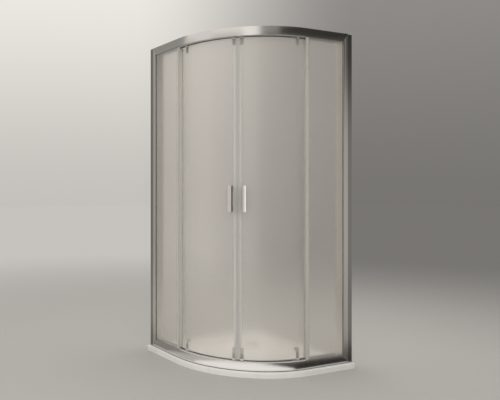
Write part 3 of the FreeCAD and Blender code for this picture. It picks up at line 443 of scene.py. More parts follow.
@dataclass(frozen=True)
class Acrylic(Finish):
    """White sanitary acrylic: faintly wavy under a clear gloss, with a trace of lime here and there."""

    wave_scale: float = 26.0
    wave_depth: float = 0.0004
    pore_scale: float = 900.0
    pore_share: float = 0.04
    pore_change: float = 0.06
    lime: Colour = (0.80, 0.78, 0.74)
    lime_scale: float = 7.0
    lime_span: Span = (0.52, 0.80)
    lime_share: float = 0.5
    lime_change: float = 0.12
    gloss: float = 0.35
    gloss_roughness: float = 0.12

    def shade(self, graph: Graph) -> None:
        """Draw the finish.

        Args:
            graph: the material's empty graph.
        """
        waves = graph.noise(graph.place(), self.wave_scale)
        pores = graph.noise(graph.place(), self.pore_scale)
        lime = graph.between(graph.noise(graph.place(), self.lime_scale, detail=6.0), *self.lime_span)
        graph.finish(graph.principled({
            "Base Color": graph.mix(lime * self.lime_share, self.colour, self.lime),
            "Roughness": self.roughness + lime * self.lime_change + (pores - 0.5) * self.pore_change,
            "Coat Weight": self.gloss,
            "Coat Roughness": self.gloss_roughness,
            "Normal": graph.bump(waves + pores * self.pore_share, self.wave_depth),
        }))


@dataclass(frozen=True)
class SatinGlass(Finish):
    """Toughened glass with an etched face: what is behind it shows as a soft blur.

    Part of the light scatters in the etched skin, which gives the milky body.  The ground edges at the top
    and the foot of a pane are told from its faces by the normal, which is upright there and level on a face.
    """

    edge: Colour = (0.55, 0.66, 0.62)
    edge_span: Span = (0.5, 0.9)
    clearness: float = 0.84
    refraction: float = 1.48
    lamp_tint: Colour = (0.86, 0.86, 0.86)
    grain_pitch: float = 0.0012
    grain_depth: float = 0.00002
    grain_strength: float = 0.5
    cloud_scale: float = 3.2
    cloud_change: float = 0.03

    def shade(self, graph: Graph) -> None:
        """Draw the finish.

        Args:
            graph: the material's empty graph.
        """
        grain = graph.noise(graph.place(), 1 / self.grain_pitch)
        clouds = graph.noise(graph.place(), self.cloud_scale, detail=4.0)
        upright = graph.math("ABSOLUTE", graph.dot(graph.normal(), UPWARDS))
        glass = graph.principled({
            "Base Color": graph.mix(graph.between(upright, *self.edge_span), self.colour, self.edge),
            "Roughness": self.roughness + (clouds - 0.5) * self.cloud_change,
            "IOR": self.refraction,
            "Transmission Weight": self.clearness,
            "Normal": graph.bump(grain, self.grain_depth, self.grain_strength),
        })
        graph.finish(graph.lets_lamps_through(glass, self.lamp_tint))


@dataclass(frozen=True)
class ClearSeal(Finish):
    """Soft clear plastic with fine upright ribs from its die."""

    clearness: float = 0.45
    refraction: float = 1.49
    rib_scale: Place = (700.0, 700.0, 0.08)
    rib_tone: float = 0.9
    rib_change: float = 0.12
    rib_depth: float = 0.00002

    def shade(self, graph: Graph) -> None:
        """Draw the finish.

        Args:
            graph: the material's empty graph.
        """
        ribs = graph.noise(graph.scaled(graph.place(), self.rib_scale), 1.0)
        plastic = graph.principled({
            "Base Color": graph.mix(ribs, toned(self.colour, self.rib_tone), self.colour),
            "Roughness": self.roughness + (ribs - 0.5) * self.rib_change,
            "IOR": self.refraction,
            "Transmission Weight": self.clearness,
            "Normal": graph.bump(ribs, self.rib_depth),
        })
        graph.finish(graph.lets_lamps_through(plastic, self.colour))


@dataclass(frozen=True)
class Moulding(Finish):
    """Moulded plastic, rubber or cast metal: a finely textured skin, a little worn where it is handled."""

    gloss: float = 0.0
    skin_pitch: float = 0.0009
    skin_depth: float = 0.00006
    skin_change: float = 0.15
    wear_scale: float = 24.0
    wear_span: Span = (0.45, 0.8)
    wear_change: float = 0.08
    wear_gain: float = 1.12
    wear_lift: float = 0.01

    def shade(self, graph: Graph) -> None:
        """Draw the finish; where it is worn, a colour part is its gain times the part plus its lift.

        Args:
            graph: the material's empty graph.
        """
        skin = graph.noise(graph.place(), 1 / self.skin_pitch, detail=3.0)
        wear = graph.between(graph.noise(graph.place(), self.wear_scale, detail=4.0), *self.wear_span)
        worn = tuple(min(1.0, self.wear_gain * part + self.wear_lift) for part in self.colour)
        graph.finish(graph.principled({
            "Base Color": graph.mix(wear, self.colour, worn),
            "Roughness": self.roughness + (skin - 0.5) * self.skin_change - wear * self.wear_change,
            "Coat Weight": self.gloss,
            "Normal": graph.bump(skin, self.skin_depth),
        }))


class Finishes:
    """The materials of the enclosure, each made once."""

    BRIGHT: Colour = (0.80, 0.775, 0.745)
    RECIPES: tuple[Finish, ...] = (
        DrawnAluminium("bright_aluminium", BRIGHT, 0.22),
        DrawnAluminium("post_aluminium", BRIGHT, 0.34, line_depth=0.00012),
        # Painted shade: the wall profiles' darker aluminium stands in for the deep shade where they meet the
        # wall.
        DrawnAluminium("profile_aluminium", (0.40, 0.385, 0.37), 0.34),
        DrawnAluminium("rail_aluminium", BRIGHT, 0.225, grain=Grain.ALONG),
        PolishedChrome("chrome", (0.83, 0.825, 0.82), 0.05),
        GripPlate("handle_chrome", (0.88, 0.865, 0.84), 0.08),
        BrushedSheet("stainless_steel", (0.60, 0.60, 0.59), 0.30),
        Acrylic("tray_acrylic", (0.90, 0.885, 0.86), 0.30),
        SatinGlass("satin_glass", (0.86, 0.83, 0.79), 0.23),
        ClearSeal("clear_seal", (0.86, 0.845, 0.81), 0.34),
        Moulding("satin_zinc", (0.40, 0.39, 0.37), 0.38, gloss=0.35),
        Moulding("magnet_grey", (0.40, 0.39, 0.37), 0.60),
        Moulding("black_rubber", (0.045, 0.045, 0.045), 0.72),
        Moulding("grey_plastic", (0.58, 0.57, 0.545), 0.48),
        Moulding("wheel_nylon", (0.82, 0.81, 0.78), 0.42, gloss=0.1),
        Moulding("bracket_nylon", (0.88, 0.865, 0.83), 0.40, gloss=0.1),
        Moulding("button_plastic", (0.78, 0.78, 0.77), 0.32, gloss=0.3),
    )

    def __init__(self) -> None:
        """Make every material."""
        self.made = {recipe.name: recipe.material() for recipe in self.RECIPES}

    def __getitem__(self, name: str) -> bpy.types.Material:
        """The material of one finish."""
        return self.made[name]

    def dress(self, nodes: Mapping[str, bpy.types.Object], slots: Mapping[str, str]) -> None:
        """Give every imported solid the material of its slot.

        Args:
            nodes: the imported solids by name.
            slots: the material slot of each solid.
        """
        for name, solid in nodes.items():
            for slot in solid.material_slots:
                slot.material = self[slots[name]]


# ------------------------------------------------------------------------------------------- mesh building


@dataclass
class Skin:
    """Points and faces of one or more closed surfaces, before they become a mesh."""

    points: np.ndarray
    faces: list[tuple[int, ...]]
    uv: np.ndarray | None = None

    def __add__(self, other: Skin) -> Skin:
        """Take two skins as one.

        Args:
            other: the skin that comes second.

        Returns:
            The joint skin, with a map if both have one.
        """
        shift = len(self.points)
        moved = [tuple(index + shift for index in face) for face in other.faces]
        uv = None if self.uv is None or other.uv is None else np.vstack([self.uv, other.uv])
        return Skin(np.vstack([self.points, other.points]), self.faces + moved, uv)

    def turned_over(self) -> Skin:
        """The same points with every face the other way round."""
        return Skin(self.points, [face[::-1] for face in self.faces], self.uv)


def ring_faces(rows: int, columns: int) -> list[tuple[int, ...]]:
    """Faces of a closed skin whose points are rings, one ring after the other.

    Quads join each ring to the next one, and one face closes each end.

    Args:
        rows: number of rings.
        columns: number of points in a ring.

    Returns:
        The quads, the first end and the last end.
    """
    row, column = np.meshgrid(np.arange(rows - 1), np.arange(columns), indexing="ij")
    following = (column + 1) % columns
    quads = np.stack([row * columns + column, row * columns + following,
                      (row + 1) * columns + following, (row + 1) * columns + column], axis=-1)
    first = tuple(range(columns))[::-1]
    last = tuple(range((rows - 1) * columns, rows * columns))
    return [*(tuple(quad) for quad in quads.reshape(-1, 4).tolist()), first, last]


def run_length(points: np.ndarray) -> np.ndarray:
    """Length along a line of points, from its first point to each of them."""
    return np.concatenate([[0.0], np.cumsum(np.linalg.norm(np.diff(points, axis=0), axis=1))])


def swept(section: np.ndarray, places: np.ndarray, inwards: np.ndarray) -> Skin:
    """Carry a closed section along a level path.

    Each point is path + inwards * section's first number, at the level of its second number.

    Args:
        section: (k, 2) corners of the section, as distance inwards from the path and level.
        places: (n, 2) points of the path in plan.
        inwards: (n, 2) unit vectors square to the path.

    Returns:
        The closed skin, with a map of length along the path and length round the section.
    """
    plan = places[:, None, :] + inwards[:, None, :] * section[None, :, :1]
    levels = np.broadcast_to(section[None, :, 1:], (*plan.shape[:2], 1))
    points = np.concatenate([plan, levels], axis=-1).reshape(-1, 3)
    lengths = np.broadcast_arrays(run_length(places)[:, None], run_length(section)[None, :])
    return Skin(points, ring_faces(len(places), len(section)), np.stack(lengths, axis=-1).reshape(-1, 2))


def lathe(profile: Sequence[tuple[float, float]], origin: Sequence[float], axis: Sequence[float],
          steps: int = 36, hexagonal: Sequence[int] = ()) -> Skin:
    """Turn a profile about an axis.

    Each point is origin + axis * distance + radius * (side * cos + other * sin) of its turn.  On a hexagonal
    row the radius is that of the corners, times cos 30 over the cosine of the turn from the nearest flat.

    Args:
        profile: pairs of radius and distance along the axis, from one end to the other.
        origin: a point on the axis.
        axis: direction of the axis.
        steps: points round the axis, a multiple of six.
        hexagonal: numbers of the rows that are hexagons.

    Returns:
        The skin, closed at both ends.
    """
    along = np.array(axis, float) / np.linalg.norm(axis)
    # Any direction well away from the axis gives the two sides that are square to it.
    helper = np.array(UPWARDS) if abs(along[2]) < 0.9 else np.array([1.0, 0.0, 0.0])
    side = np.cross(helper, along)
    side /= np.linalg.norm(side)
    other = np.cross(along, side)
    turn = np.linspace(0, 2 * math.pi, steps, endpoint=False)
    radius, distance = np.array(profile, float).T
    sixth = math.pi / 3
    reach = np.tile(radius[:, None], (1, steps))
    reach[list(hexagonal)] *= math.cos(sixth / 2) / np.cos(turn % sixth - sixth / 2)
    ring = np.cos(turn)[:, None] * side + np.sin(turn)[:, None] * other
    points = np.array(origin, float) + distance[:, None, None] * along + reach[:, :, None] * ring
    return Skin(points.reshape(-1, 3), ring_faces(len(profile), steps))


def both_ways(half: Profile) -> Profile:
    """A whole profile from its far half: the half's mirror image, then the half itself run backwards."""
    return tuple((radius, -distance) for radius, distance in half) + half[::-1]


def arc(centre: tuple[float, float], radius: float, first: float, last: float,
        steps: int) -> list[tuple[float, float]]:
    """Points of an arc in degrees, both ends included: centre + radius * (cos, sin)."""
    turn = np.radians(np.linspace(first, last, steps))
    return list(zip(centre[0] + radius * np.cos(turn), centre[1] + radius * np.sin(turn)))


@dataclass(frozen=True)
class Workshop:
    """Turns skins into pieces that ride on a body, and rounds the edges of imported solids."""

    finishes: Finishes
    nodes: Mapping[str, bpy.types.Object]
    slots: Mapping[str, str]
    merge_distance: float = 1e-6
    flat_angle: float = math.radians(0.4)
    sharp_angle: float = math.radians(35)
    edge_steps: int = 2

    def softened(self, node: str, edge: float, finish: str = "") -> bpy.types.Object:
        """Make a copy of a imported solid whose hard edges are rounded, and show it instead.

        The solid is loose triangles, so the copy's points are merged and its flat faces joined first.

        Args:
            node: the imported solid.
            edge: width of the rounding.
            finish: its material, or nothing for that of its slot.

        Returns:
            The new object.
        """
        solid = self.nodes[node]
        work = bmesh.new()
        work.from_mesh(solid.data)
        bmesh.ops.remove_doubles(work, verts=work.verts, dist=self.merge_distance)
        bmesh.ops.dissolve_limit(work, angle_limit=self.flat_angle, verts=work.verts, edges=work.edges)
        mesh = bpy.data.meshes.new(node + "_finished")
        work.to_mesh(mesh)
        work.free()
        if "custom_normal" in mesh.attributes:
            mesh.attributes.remove(mesh.attributes["custom_normal"])
        slot = self.slots[node]
        return self._finished(mesh, finish or slot, slot, solid["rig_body"], edge, [node])

    def piece(self, name: str, skin: Skin, finish: str, slot: str, body: str, edge: float = 0.0,
              replaces: Sequence[str] = ()) -> bpy.types.Object:
        """Make one piece.

        Args:
            name: the piece's name.
            skin: its surface.
            finish: its material.
            slot: the record's material slot that it belongs to.
            body: the body that it rides on.
            edge: width of the rounding of its edges, or 0 for none.
            replaces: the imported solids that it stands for.

        Returns:
            The new object.
        """
        mesh = bpy.data.meshes.new(name)
        mesh.from_pydata(skin.points.tolist(), [], skin.faces)
        if skin.uv is not None:
            corners = np.empty(len(mesh.loops), np.int32)
            mesh.loops.foreach_get("vertex_index", corners)
            mesh.uv_layers.new(name="length").data.foreach_set("uv", skin.uv[corners].ravel())
        return self._finished(mesh, finish, slot, body, edge, replaces)

    def _finished(self, mesh: bpy.types.Mesh, finish: str, slot: str, body: str, edge: float,
                  replaces: Sequence[str]) -> bpy.types.Object:
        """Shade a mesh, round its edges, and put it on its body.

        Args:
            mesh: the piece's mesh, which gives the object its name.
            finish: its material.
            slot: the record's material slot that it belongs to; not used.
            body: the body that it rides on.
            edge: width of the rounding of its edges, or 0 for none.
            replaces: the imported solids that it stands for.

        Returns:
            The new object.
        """
        mesh.shade_smooth()
        mesh.set_sharp_from_angle(angle=self.sharp_angle)
        mesh.materials.clear()
        mesh.materials.append(self.finishes[finish])
        made = in_scene(mesh.name, mesh)
        if edge:
            bevel = made.modifiers.new("edges", "BEVEL")
            bevel.width = edge
            bevel.segments = self.edge_steps
            bevel.limit_method = "ANGLE"
            bevel.angle_limit = self.sharp_angle
            bevel.harden_normals = True
        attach(made, body)
        if replaces:
            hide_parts(*replaces)
        LOG.info("made %s on %s", mesh.name, body)
        return made


# ------------------------------------------------------------------------------------ places in the object


@dataclass(frozen=True)
class Layout:
    """The places that the pieces share: the tray's corners, the front's radius and the rails' inset."""

    front_radius: float = 0.55
    rail_inset: float = 0.022
    tray_low: Vector = field(default_factory=lambda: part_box("shower_tray")[0])
    tray_high: Vector = field(default_factory=lambda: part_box("shower_tray")[1])

    @property
    def centre(self) -> np.ndarray:
        """Centre of the curved front, in plan."""
        return np.array([self.tray_high.x - self.front_radius, self.tray_low.y + self.front_radius])

    def on_side(self, side: Side, skin: Skin) -> Skin:
        """Put a left-hand skin on one side.

        Args:
            side: the side that it is for.
            skin: the piece as it is on the left.

        Returns:
            The skin itself on the left.  On the right its mirror image, where each point is the centre minus
            the point's swapped offsets from the centre.
        """
        if side is Side.LEFT:
            return skin
        points = skin.points.copy()
        points[:, :2] = self.centre - (skin.points[:, :2] - self.centre)[:, ::-1]
        return Skin(points, skin.faces, skin.uv).turned_over()

    def at_foot(self, skin: Skin) -> Skin:
        """Put a skin of the top rail on the bottom rail.

        Args:
            skin: the piece as it is at the top.

        Returns:
            Its mirror image about the middle level of the frame.
        """
        middle = (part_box("top_rail")[1].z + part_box("bottom_rail")[0].z) / 2
        points = skin.points.copy()
        points[:, 2] = 2 * middle - points[:, 2]
        return Skin(points, skin.faces, skin.uv).turned_over()


# ------------------------------------------------------------------------------------------- sub-assemblies


@dataclass(frozen=True)
class Rails:
    """The two bent extrusions, with their crowned face, glazing slot and wheel channel.

    The channel, its two ledges and the back are placed by their distance inwards from the tray's edge.
    """

    layout: Layout
    workshop: Workshop
    wall: float = 0.0025
    crown: float = 0.0012
    crown_steps: int = 9
    slot_width: float = 0.011
    channel_start: float = 0.038
    ledge_out: float = 0.0509
    ledge_in: float = 0.0691
    back: float = 0.08389
    straight_steps: int = 3
    curve_steps: int = 97
    edge: float = 0.0005

    def section(self, low: float, high: float) -> np.ndarray:
        """Corners of the top rail's section.

        The face is an arc of the crown's height: half the height squared plus the crown squared, over twice
        the crown, is its radius.

        Args:
            low: level of the rail's foot.
            high: level of its top.

        Returns:
            (k, 2) corners, as distance inwards from the rail's face and level.
        """
        inset = self.layout.rail_inset
        half = (high - low) / 2
        radius = (half * half + self.crown * self.crown) / (2 * self.crown)
        spread = math.degrees(math.asin(half / radius))
        face = arc((radius - self.crown, low + half), radius, 180 + spread, 180 - spread, self.crown_steps)
        slot_start = self.wall
        slot_end = slot_start + self.slot_width
        channel = self.channel_start - inset
        channel_end = self.back - self.wall - inset
        ledge_out, ledge_in, back = self.ledge_out - inset, self.ledge_in - inset, self.back - inset
        web, ledge = high - self.wall, low + self.wall
        rest = [(back, high), (back, low), (ledge_in, low), (ledge_in, ledge), (channel_end, ledge),
                (channel_end, web), (channel, web), (channel, ledge), (ledge_out, ledge), (ledge_out, low),
                (slot_end, low), (slot_end, web), (slot_start, web), (slot_start, low)]
        return np.array(face + rest)

    def face_inset(self, share: np.ndarray) -> np.ndarray:
        """Inset of the crowned face at a share of the rail's height: the crown falls off as a parabola."""
        return self.layout.rail_inset - self.crown * (1 - (2 * share - 1) ** 2)

    def path(self, start_x: float) -> tuple[np.ndarray, np.ndarray]:
        """The face's path in plan, from the left post round the curve to the right post.

        Args:
            start_x: where the rail begins, at the left post.

        Returns:
            The points and the unit vectors that point inwards.
        """
        centre = self.layout.centre
        radius = self.layout.front_radius - self.layout.rail_inset
        turn = np.radians(np.linspace(-90.0, 0.0, self.curve_steps))
        outwards = np.column_stack([np.cos(turn), np.sin(turn)])
        curve = centre + radius * outwards
        lead = np.linspace(start_x, centre[0], self.straight_steps, endpoint=False)
        left = np.column_stack([lead, np.full(len(lead), centre[1] - radius)])
        right = centre - (left - centre)[::-1, ::-1]
        down = np.tile([0.0, -1.0], (len(lead), 1))
        across = np.tile([1.0, 0.0], (len(lead), 1))
        return np.vstack([left, curve, right]), -np.vstack([down, outwards, across])

    def build(self) -> None:
        """Make both rails."""
        low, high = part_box("top_rail")
        top = swept(self.section(low.z, high.z), *self.path(low.x))
        for level, skin in ((Level.TOP, top), (Level.BOTTOM, self.layout.at_foot(top))):
            node = f"{level.value}_rail"
            self.workshop.piece(node + "_extrusion", skin, "rail_aluminium", "bright_aluminium", "enclosure",
                                self.edge, [node])


@dataclass(frozen=True)
class FootSealPaintedShadow:
    """The dark bead that seals the frame to the tray, along the foot of the bottom rail and of the posts.
    Its black line is also painted shadow, in place of the shadow in the gap between the rail and the tray.

    Its knee is where the lip bends, as shares of how far it stands proud and of its height.
    """

    layout: Layout
    workshop: Workshop
    rails: Rails
    height: float = 0.0032
    proud: float = 0.0011
    depth: float = 0.0015
    reach: float = 0.030
    knee_out: float = 0.8
    knee_up: float = 0.55

    def build(self) -> None:
        """Make the bead: a lip that leans back from the tray to the rail's face, more so above its knee."""
        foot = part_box("bottom_rail")[0].z
        top = foot + self.height
        knee = (-self.proud * self.knee_out, foot + self.height * self.knee_up)
        # Painted shadow: the bead's black line stands in for the shadow in the gap between the rail and the
        # tray.
        section = np.array([(-self.proud, foot), knee, (0.0, top), (self.depth, top), (self.depth, foot)])
        bead = swept(section, *self.rails.path(self.layout.tray_low.x + self.reach))
        self.workshop.piece("foot_seal_painted_shadow", bead, "black_rubber", "black_rubber", "enclosure")


@dataclass(frozen=True)
class MitredCorners:
    """The rail's face carried on past the joint to a slanting seam, at all four corners of the frame.

    At each level the plate begins on the slant, rises over the seam's bevel to the rail's crowned face, and
    ends where the rail begins.  The slant runs from the rail's end, on the side of the glass, to the outer
    reach, which is measured from the tray's edge.
    """

    layout: Layout
    workshop: Workshop
    rails: Rails
    outer_reach: float = 0.030
    bevel: float = 0.004
    overlap: float = 0.0003
    least: float = 0.0001
    rows: int = 25

    def skin(self) -> Skin:
        """Work out the plate of the upper left corner.

        Returns:
            The closed skin, with a map of length along the rail and level.
        """
        low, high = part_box("top_rail")
        share = np.linspace(0.0, 1.0, self.rows)
        level = low.z + share * (high.z - low.z)
        start = self.layout.tray_low.x + self.outer_reach
        slant = np.minimum(low.x - (low.x - start) * share, low.x - self.least)
        crest = np.minimum(slant + self.bevel, low.x - self.least / 2)
        end = np.full(self.rows, low.x)
        flat = np.full(self.rows, self.layout.rail_inset)
        face, back = self.rails.face_inset(share), flat + self.overlap
        across = np.stack([slant, crest, end, end, slant], axis=1)
        inset = np.stack([flat - self.least, face, face, back, back], axis=1)
        levels = np.broadcast_to(level[:, None], across.shape)
        points = np.stack([across, self.layout.tray_low.y + inset, levels], axis=-1).reshape(-1, 3)
        return Skin(points, ring_faces(*across.shape), points[:, [0, 2]])

    def build(self) -> None:
        """Make the four plates."""
        upper = self.skin()
        for side in Side:
            for level, skin in ((Level.TOP, upper), (Level.BOTTOM, self.layout.at_foot(upper))):
                self.workshop.piece(f"{level.value}_mitre_{side.value}", self.layout.on_side(side, skin),
                                    "rail_aluminium", "bright_aluminium", "enclosure")


@dataclass(frozen=True)
class WasteCover:
    """The lift-off cover: a spun dome with a rolled rim and a shallow ring."""

    workshop: Workshop
    rim: float = 0.0026
    roll: float = 0.0008
    foot_inset: float = 0.001
    ring_radius: float = 0.040
    ring_width: float = 0.0016
    ring_depth: float = 0.0005
    tip: float = 0.0005
    rows: int = 40
    steps: int = 72

    def build(self) -> None:
        """Make the cover.

        Its top rises from the rim to the crown as 1 - (radius / rim radius) squared, less a narrow
        bell-shaped ring.
        """
        low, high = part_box("waste_cover")
        radius = (high.x - low.x) / 2
        thickness = high.z - low.z
        shoulder = radius - self.roll
        distance = np.linspace(shoulder, self.tip, self.rows)
        rise = (thickness - self.rim) * (1 - (distance / shoulder) ** 2)
        ring = self.ring_depth * np.exp(-((distance - self.ring_radius) / self.ring_width) ** 2)
        profile = [(radius - self.foot_inset, 0.0), (radius, self.roll), (radius, self.rim - self.roll),
                   *zip(distance, self.rim + rise - ring)]
        origin = ((low.x + high.x) / 2, (low.y + high.y) / 2, low.z)
        dome = lathe(profile, origin, UPWARDS, self.steps)
        self.workshop.piece("waste_cover_dome", dome, "chrome", "chrome", "waste_cover",
                            replaces=["waste_cover"])


@dataclass(frozen=True)
class Rollers:
    """The door wheels: nylon tyres with a dished web, each on a steel bearing.

    The spacing is from the middle of an axle to the middle of a wheel.
    """

    workshop: Workshop
    joints: Sequence[Mapping[str, Any]]
    spacing: float = 0.0076
    half_tyre: Profile = ((0.0052, 0.0046), (0.0084, 0.0044), (0.0090, 0.0055), (0.0101, 0.0055),
                          (0.0109, 0.0045), (0.0110, 0.0034))
    half_bearing: Profile = ((0.0031, 0.0053), (0.0040, 0.0053), (0.0042, 0.0050), (0.0046, 0.0050),
                             (0.0048, 0.0053), (0.0053, 0.0053))

    def build(self) -> None:
        """Make the tyres and bearings of every pair."""
        for joint in self.joints:
            body = joint["child"]
            side, place = body.split("_", 1)
            node = f"{place}_{side}"
            tyres, bearings = self._pair(self.half_tyre, joint), self._pair(self.half_bearing, joint)
            self.workshop.piece(node + "_tyres", tyres, "wheel_nylon", "wheel_nylon", body, replaces=[node])
            self.workshop.piece(node + "_bearings", bearings, "stainless_steel", "stainless_steel", body)

    def _pair(self, half: Profile, joint: Mapping[str, Any]) -> Skin:
        """Turn the same form on both sides of the middle of an axle.

        Args:
            half: half of the form's profile.
            joint: the joint that the pair rolls on, with its axis and its middle.

        Returns:
            The two forms as one skin.
        """
        axis, middle = np.array(joint["axis"]), np.array(joint["pos_m"])
        near, far = middle - axis * self.spacing, middle + axis * self.spacing
        return lathe(both_ways(half), near, axis) + lathe(both_ways(half), far, axis)


@dataclass(frozen=True)
class ClampFasteners:
    """The screws that hold the brackets to the door glass: flat socket heads outside, cap nuts inside.

    They stand at the angles of the top wheel pairs round the centre of the curve, at two distances from the
    top and from the foot of the glass.  A seat is a radius from the centre of the curve.
    """

    layout: Layout
    workshop: Workshop
    joints: Sequence[Mapping[str, Any]]
    from_edge: tuple[float, float] = (0.010, 0.025)
    angle_digits: int = 5
    head_seat: float = 0.48548
    nut_seat: float = 0.47628
    head: Profile = ((0.0065, 0.0), (0.0065, 0.0011), (0.0062, 0.0015), (0.0031, 0.0015), (0.0026, 0.0013),
                     (0.0026, 0.0006))
    head_hexagon: tuple[int, ...] = (4, 5)
    nut: Profile = ((0.0055, 0.0), (0.0055, 0.0021), (0.0047, 0.0026), (0.0041, 0.0033), (0.0026, 0.0038),
                    (0.0008, 0.0040))
    nut_hexagon: tuple[int, ...] = (0, 1)

    def build(self) -> None:
        """Make the fasteners of both doors."""
        low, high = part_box("door_glass_left")
        levels = [high.z - edge for edge in self.from_edge] + [low.z + edge for edge in self.from_edge]
        centre = self.layout.centre
        angles = sorted(round(math.atan2(joint["pos_m"][1] - centre[1], joint["pos_m"][0] - centre[0]),
                              self.angle_digits)
                        for joint in self.joints if joint["child"].startswith("left_top_"))
        skins = [self._pair(angle, level) for angle in angles for level in levels]
        left = sum(skins[1:], skins[0])
        for side in Side:
            self.workshop.piece(f"clamp_fasteners_{side.value}", self.layout.on_side(side, left),
                                "satin_zinc", "chrome", f"{side.value}_door",
                                replaces=[f"clamp_screws_{side.value}"])

    def _pair(self, angle: float, level: float) -> Skin:
        """Make a head outside the glass and its nut inside the bracket.

        Args:
            angle: the screw's angle round the centre of the curve.
            level: its level.

        Returns:
            The two as one skin.
        """
        outwards = np.array([math.cos(angle), math.sin(angle), 0.0])
        middle = np.array([*self.layout.centre, level])
        head = lathe(self.head, middle + outwards * self.head_seat, outwards, hexagonal=self.head_hexagon)
        nut = lathe(self.nut, middle + outwards * self.nut_seat, -outwards, hexagonal=self.nut_hexagon)
        return head + nut


@dataclass(frozen=True)
class SoftEdges:
    """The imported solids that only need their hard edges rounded, and how much.

    A few of them show another finish than their slot's.
    """

    workshop: Workshop
    single: Mapping[str, float] = field(default_factory=lambda: {
        "post_caps": 0.0008, "door_stops": 0.0005, "screw_caps": 0.0006, "slot_fillers": 0.0004})
    paired: Mapping[str, float] = field(default_factory=lambda: {
        "wall_profile": 0.0004, "side_post": 0.0005, "fixed_glass": 0.0006, "door_glass": 0.0006,
        "top_brackets": 0.0004, "bottom_brackets": 0.0004, "release_housings": 0.001,
        "leading_release_button": 0.001, "trailing_release_button": 0.001, "seal_end_blocks": 0.0005,
        "handle_screws": 0.0004, "door_handle": 0.0004})
    # The wall profiles take the darker aluminium, whose colour is painted shade.
    finishes: Mapping[str, str] = field(default_factory=lambda: {
        "side_post": "post_aluminium", "wall_profile": "profile_aluminium",
        "seal_end_blocks": "grey_plastic", "top_brackets": "bracket_nylon",
        "bottom_brackets": "bracket_nylon"})

    def build(self) -> None:
        """Make the rounded copies."""
        for node, edge in self.single.items():
            self.workshop.softened(node, edge)
        for node, edge in self.paired.items():
            for side in Side:
                self.workshop.softened(f"{node}_{side.value}", edge, self.finishes.get(node, ""))


# -------------------------------------------------------------------------------------------------- studio


def sheet(name: str, corners: Sequence[Place], material: bpy.types.Material) -> bpy.types.Object:
    """Make one flat sheet of the studio.

    Args:
        name: the sheet's name.
        corners: its four corners, in order round it.
        material: its material.

    Returns:
        The new object.
    """
    mesh = bpy.data.meshes.new(name)
    mesh.from_pydata(corners, [], [(0, 1, 2, 3)])
    mesh.materials.append(material)
    return in_scene(name, mesh)


@dataclass(frozen=True)
class Softbox:
    """One lamp, aimed at the middle of the object and not itself seen or mirrored.

    Its azimuth is in degrees from +X.
    """

    name: str
    azimuth: float
    distance: float
    level: float
    size: tuple[float, float]
    brightness: float
    colour: Colour = (1.0, 0.985, 0.96)

    def build(self, aim: Vector) -> None:
        """Hang the lamp; its power is its brightness times pi times its area.

        Args:
            aim: the place that the lamp faces.
        """
        lamp = bpy.data.lights.new(self.name, "AREA")
        lamp.shape = "RECTANGLE"
        lamp.size, lamp.size_y = self.size
        lamp.energy = self.brightness * math.pi * self.size[0] * self.size[1]
        lamp.color = self.colour
        made = in_scene(self.name, lamp)
        turn = math.radians(self.azimuth)
        made.location = (self.distance * math.cos(turn), self.distance * math.sin(turn), self.level)
        made.rotation_euler = (aim - made.location).to_track_quat("-Z", "Y").to_euler()
        made.visible_camera = False
        made.visible_glossy = False
        made.visible_transmission = False


@dataclass(frozen=True)
class Card:
    """A plain card, light or dark, that only the metal and the gloss surfaces mirror.

    Its azimuth is in degrees from +X.  A lying card's height is its length away from the object.
    """

    name: str
    azimuth: float
    distance: float
    width: float
    height: float
    tone: Colour
    lying: bool = False
    foot: float = 0.004

    def build(self) -> None:
        """Stand the card up facing the object, or lay it down with its near edge at its distance."""
        turn = math.radians(self.azimuth)
        outwards = np.array([math.cos(turn), math.sin(turn)])
        across = np.array([-outwards[1], outwards[0]]) * self.width / 2
        middle = outwards * self.distance
        far = middle + outwards * (self.height if self.lying else 0.0)
        top = self.foot if self.lying else self.height
        material = bpy.data.materials.new(self.name)
        graph = Graph(material)
        graph.finish(graph.glow(self.tone))
        made = sheet(self.name, [(*(middle - across), self.foot), (*(middle + across), self.foot),
                                 (*(far + across), top), (*(far - across), top)], material)
        for ray in ("camera", "diffuse", "transmission", "shadow", "volume_scatter"):
            setattr(made, "visible_" + ray, False)


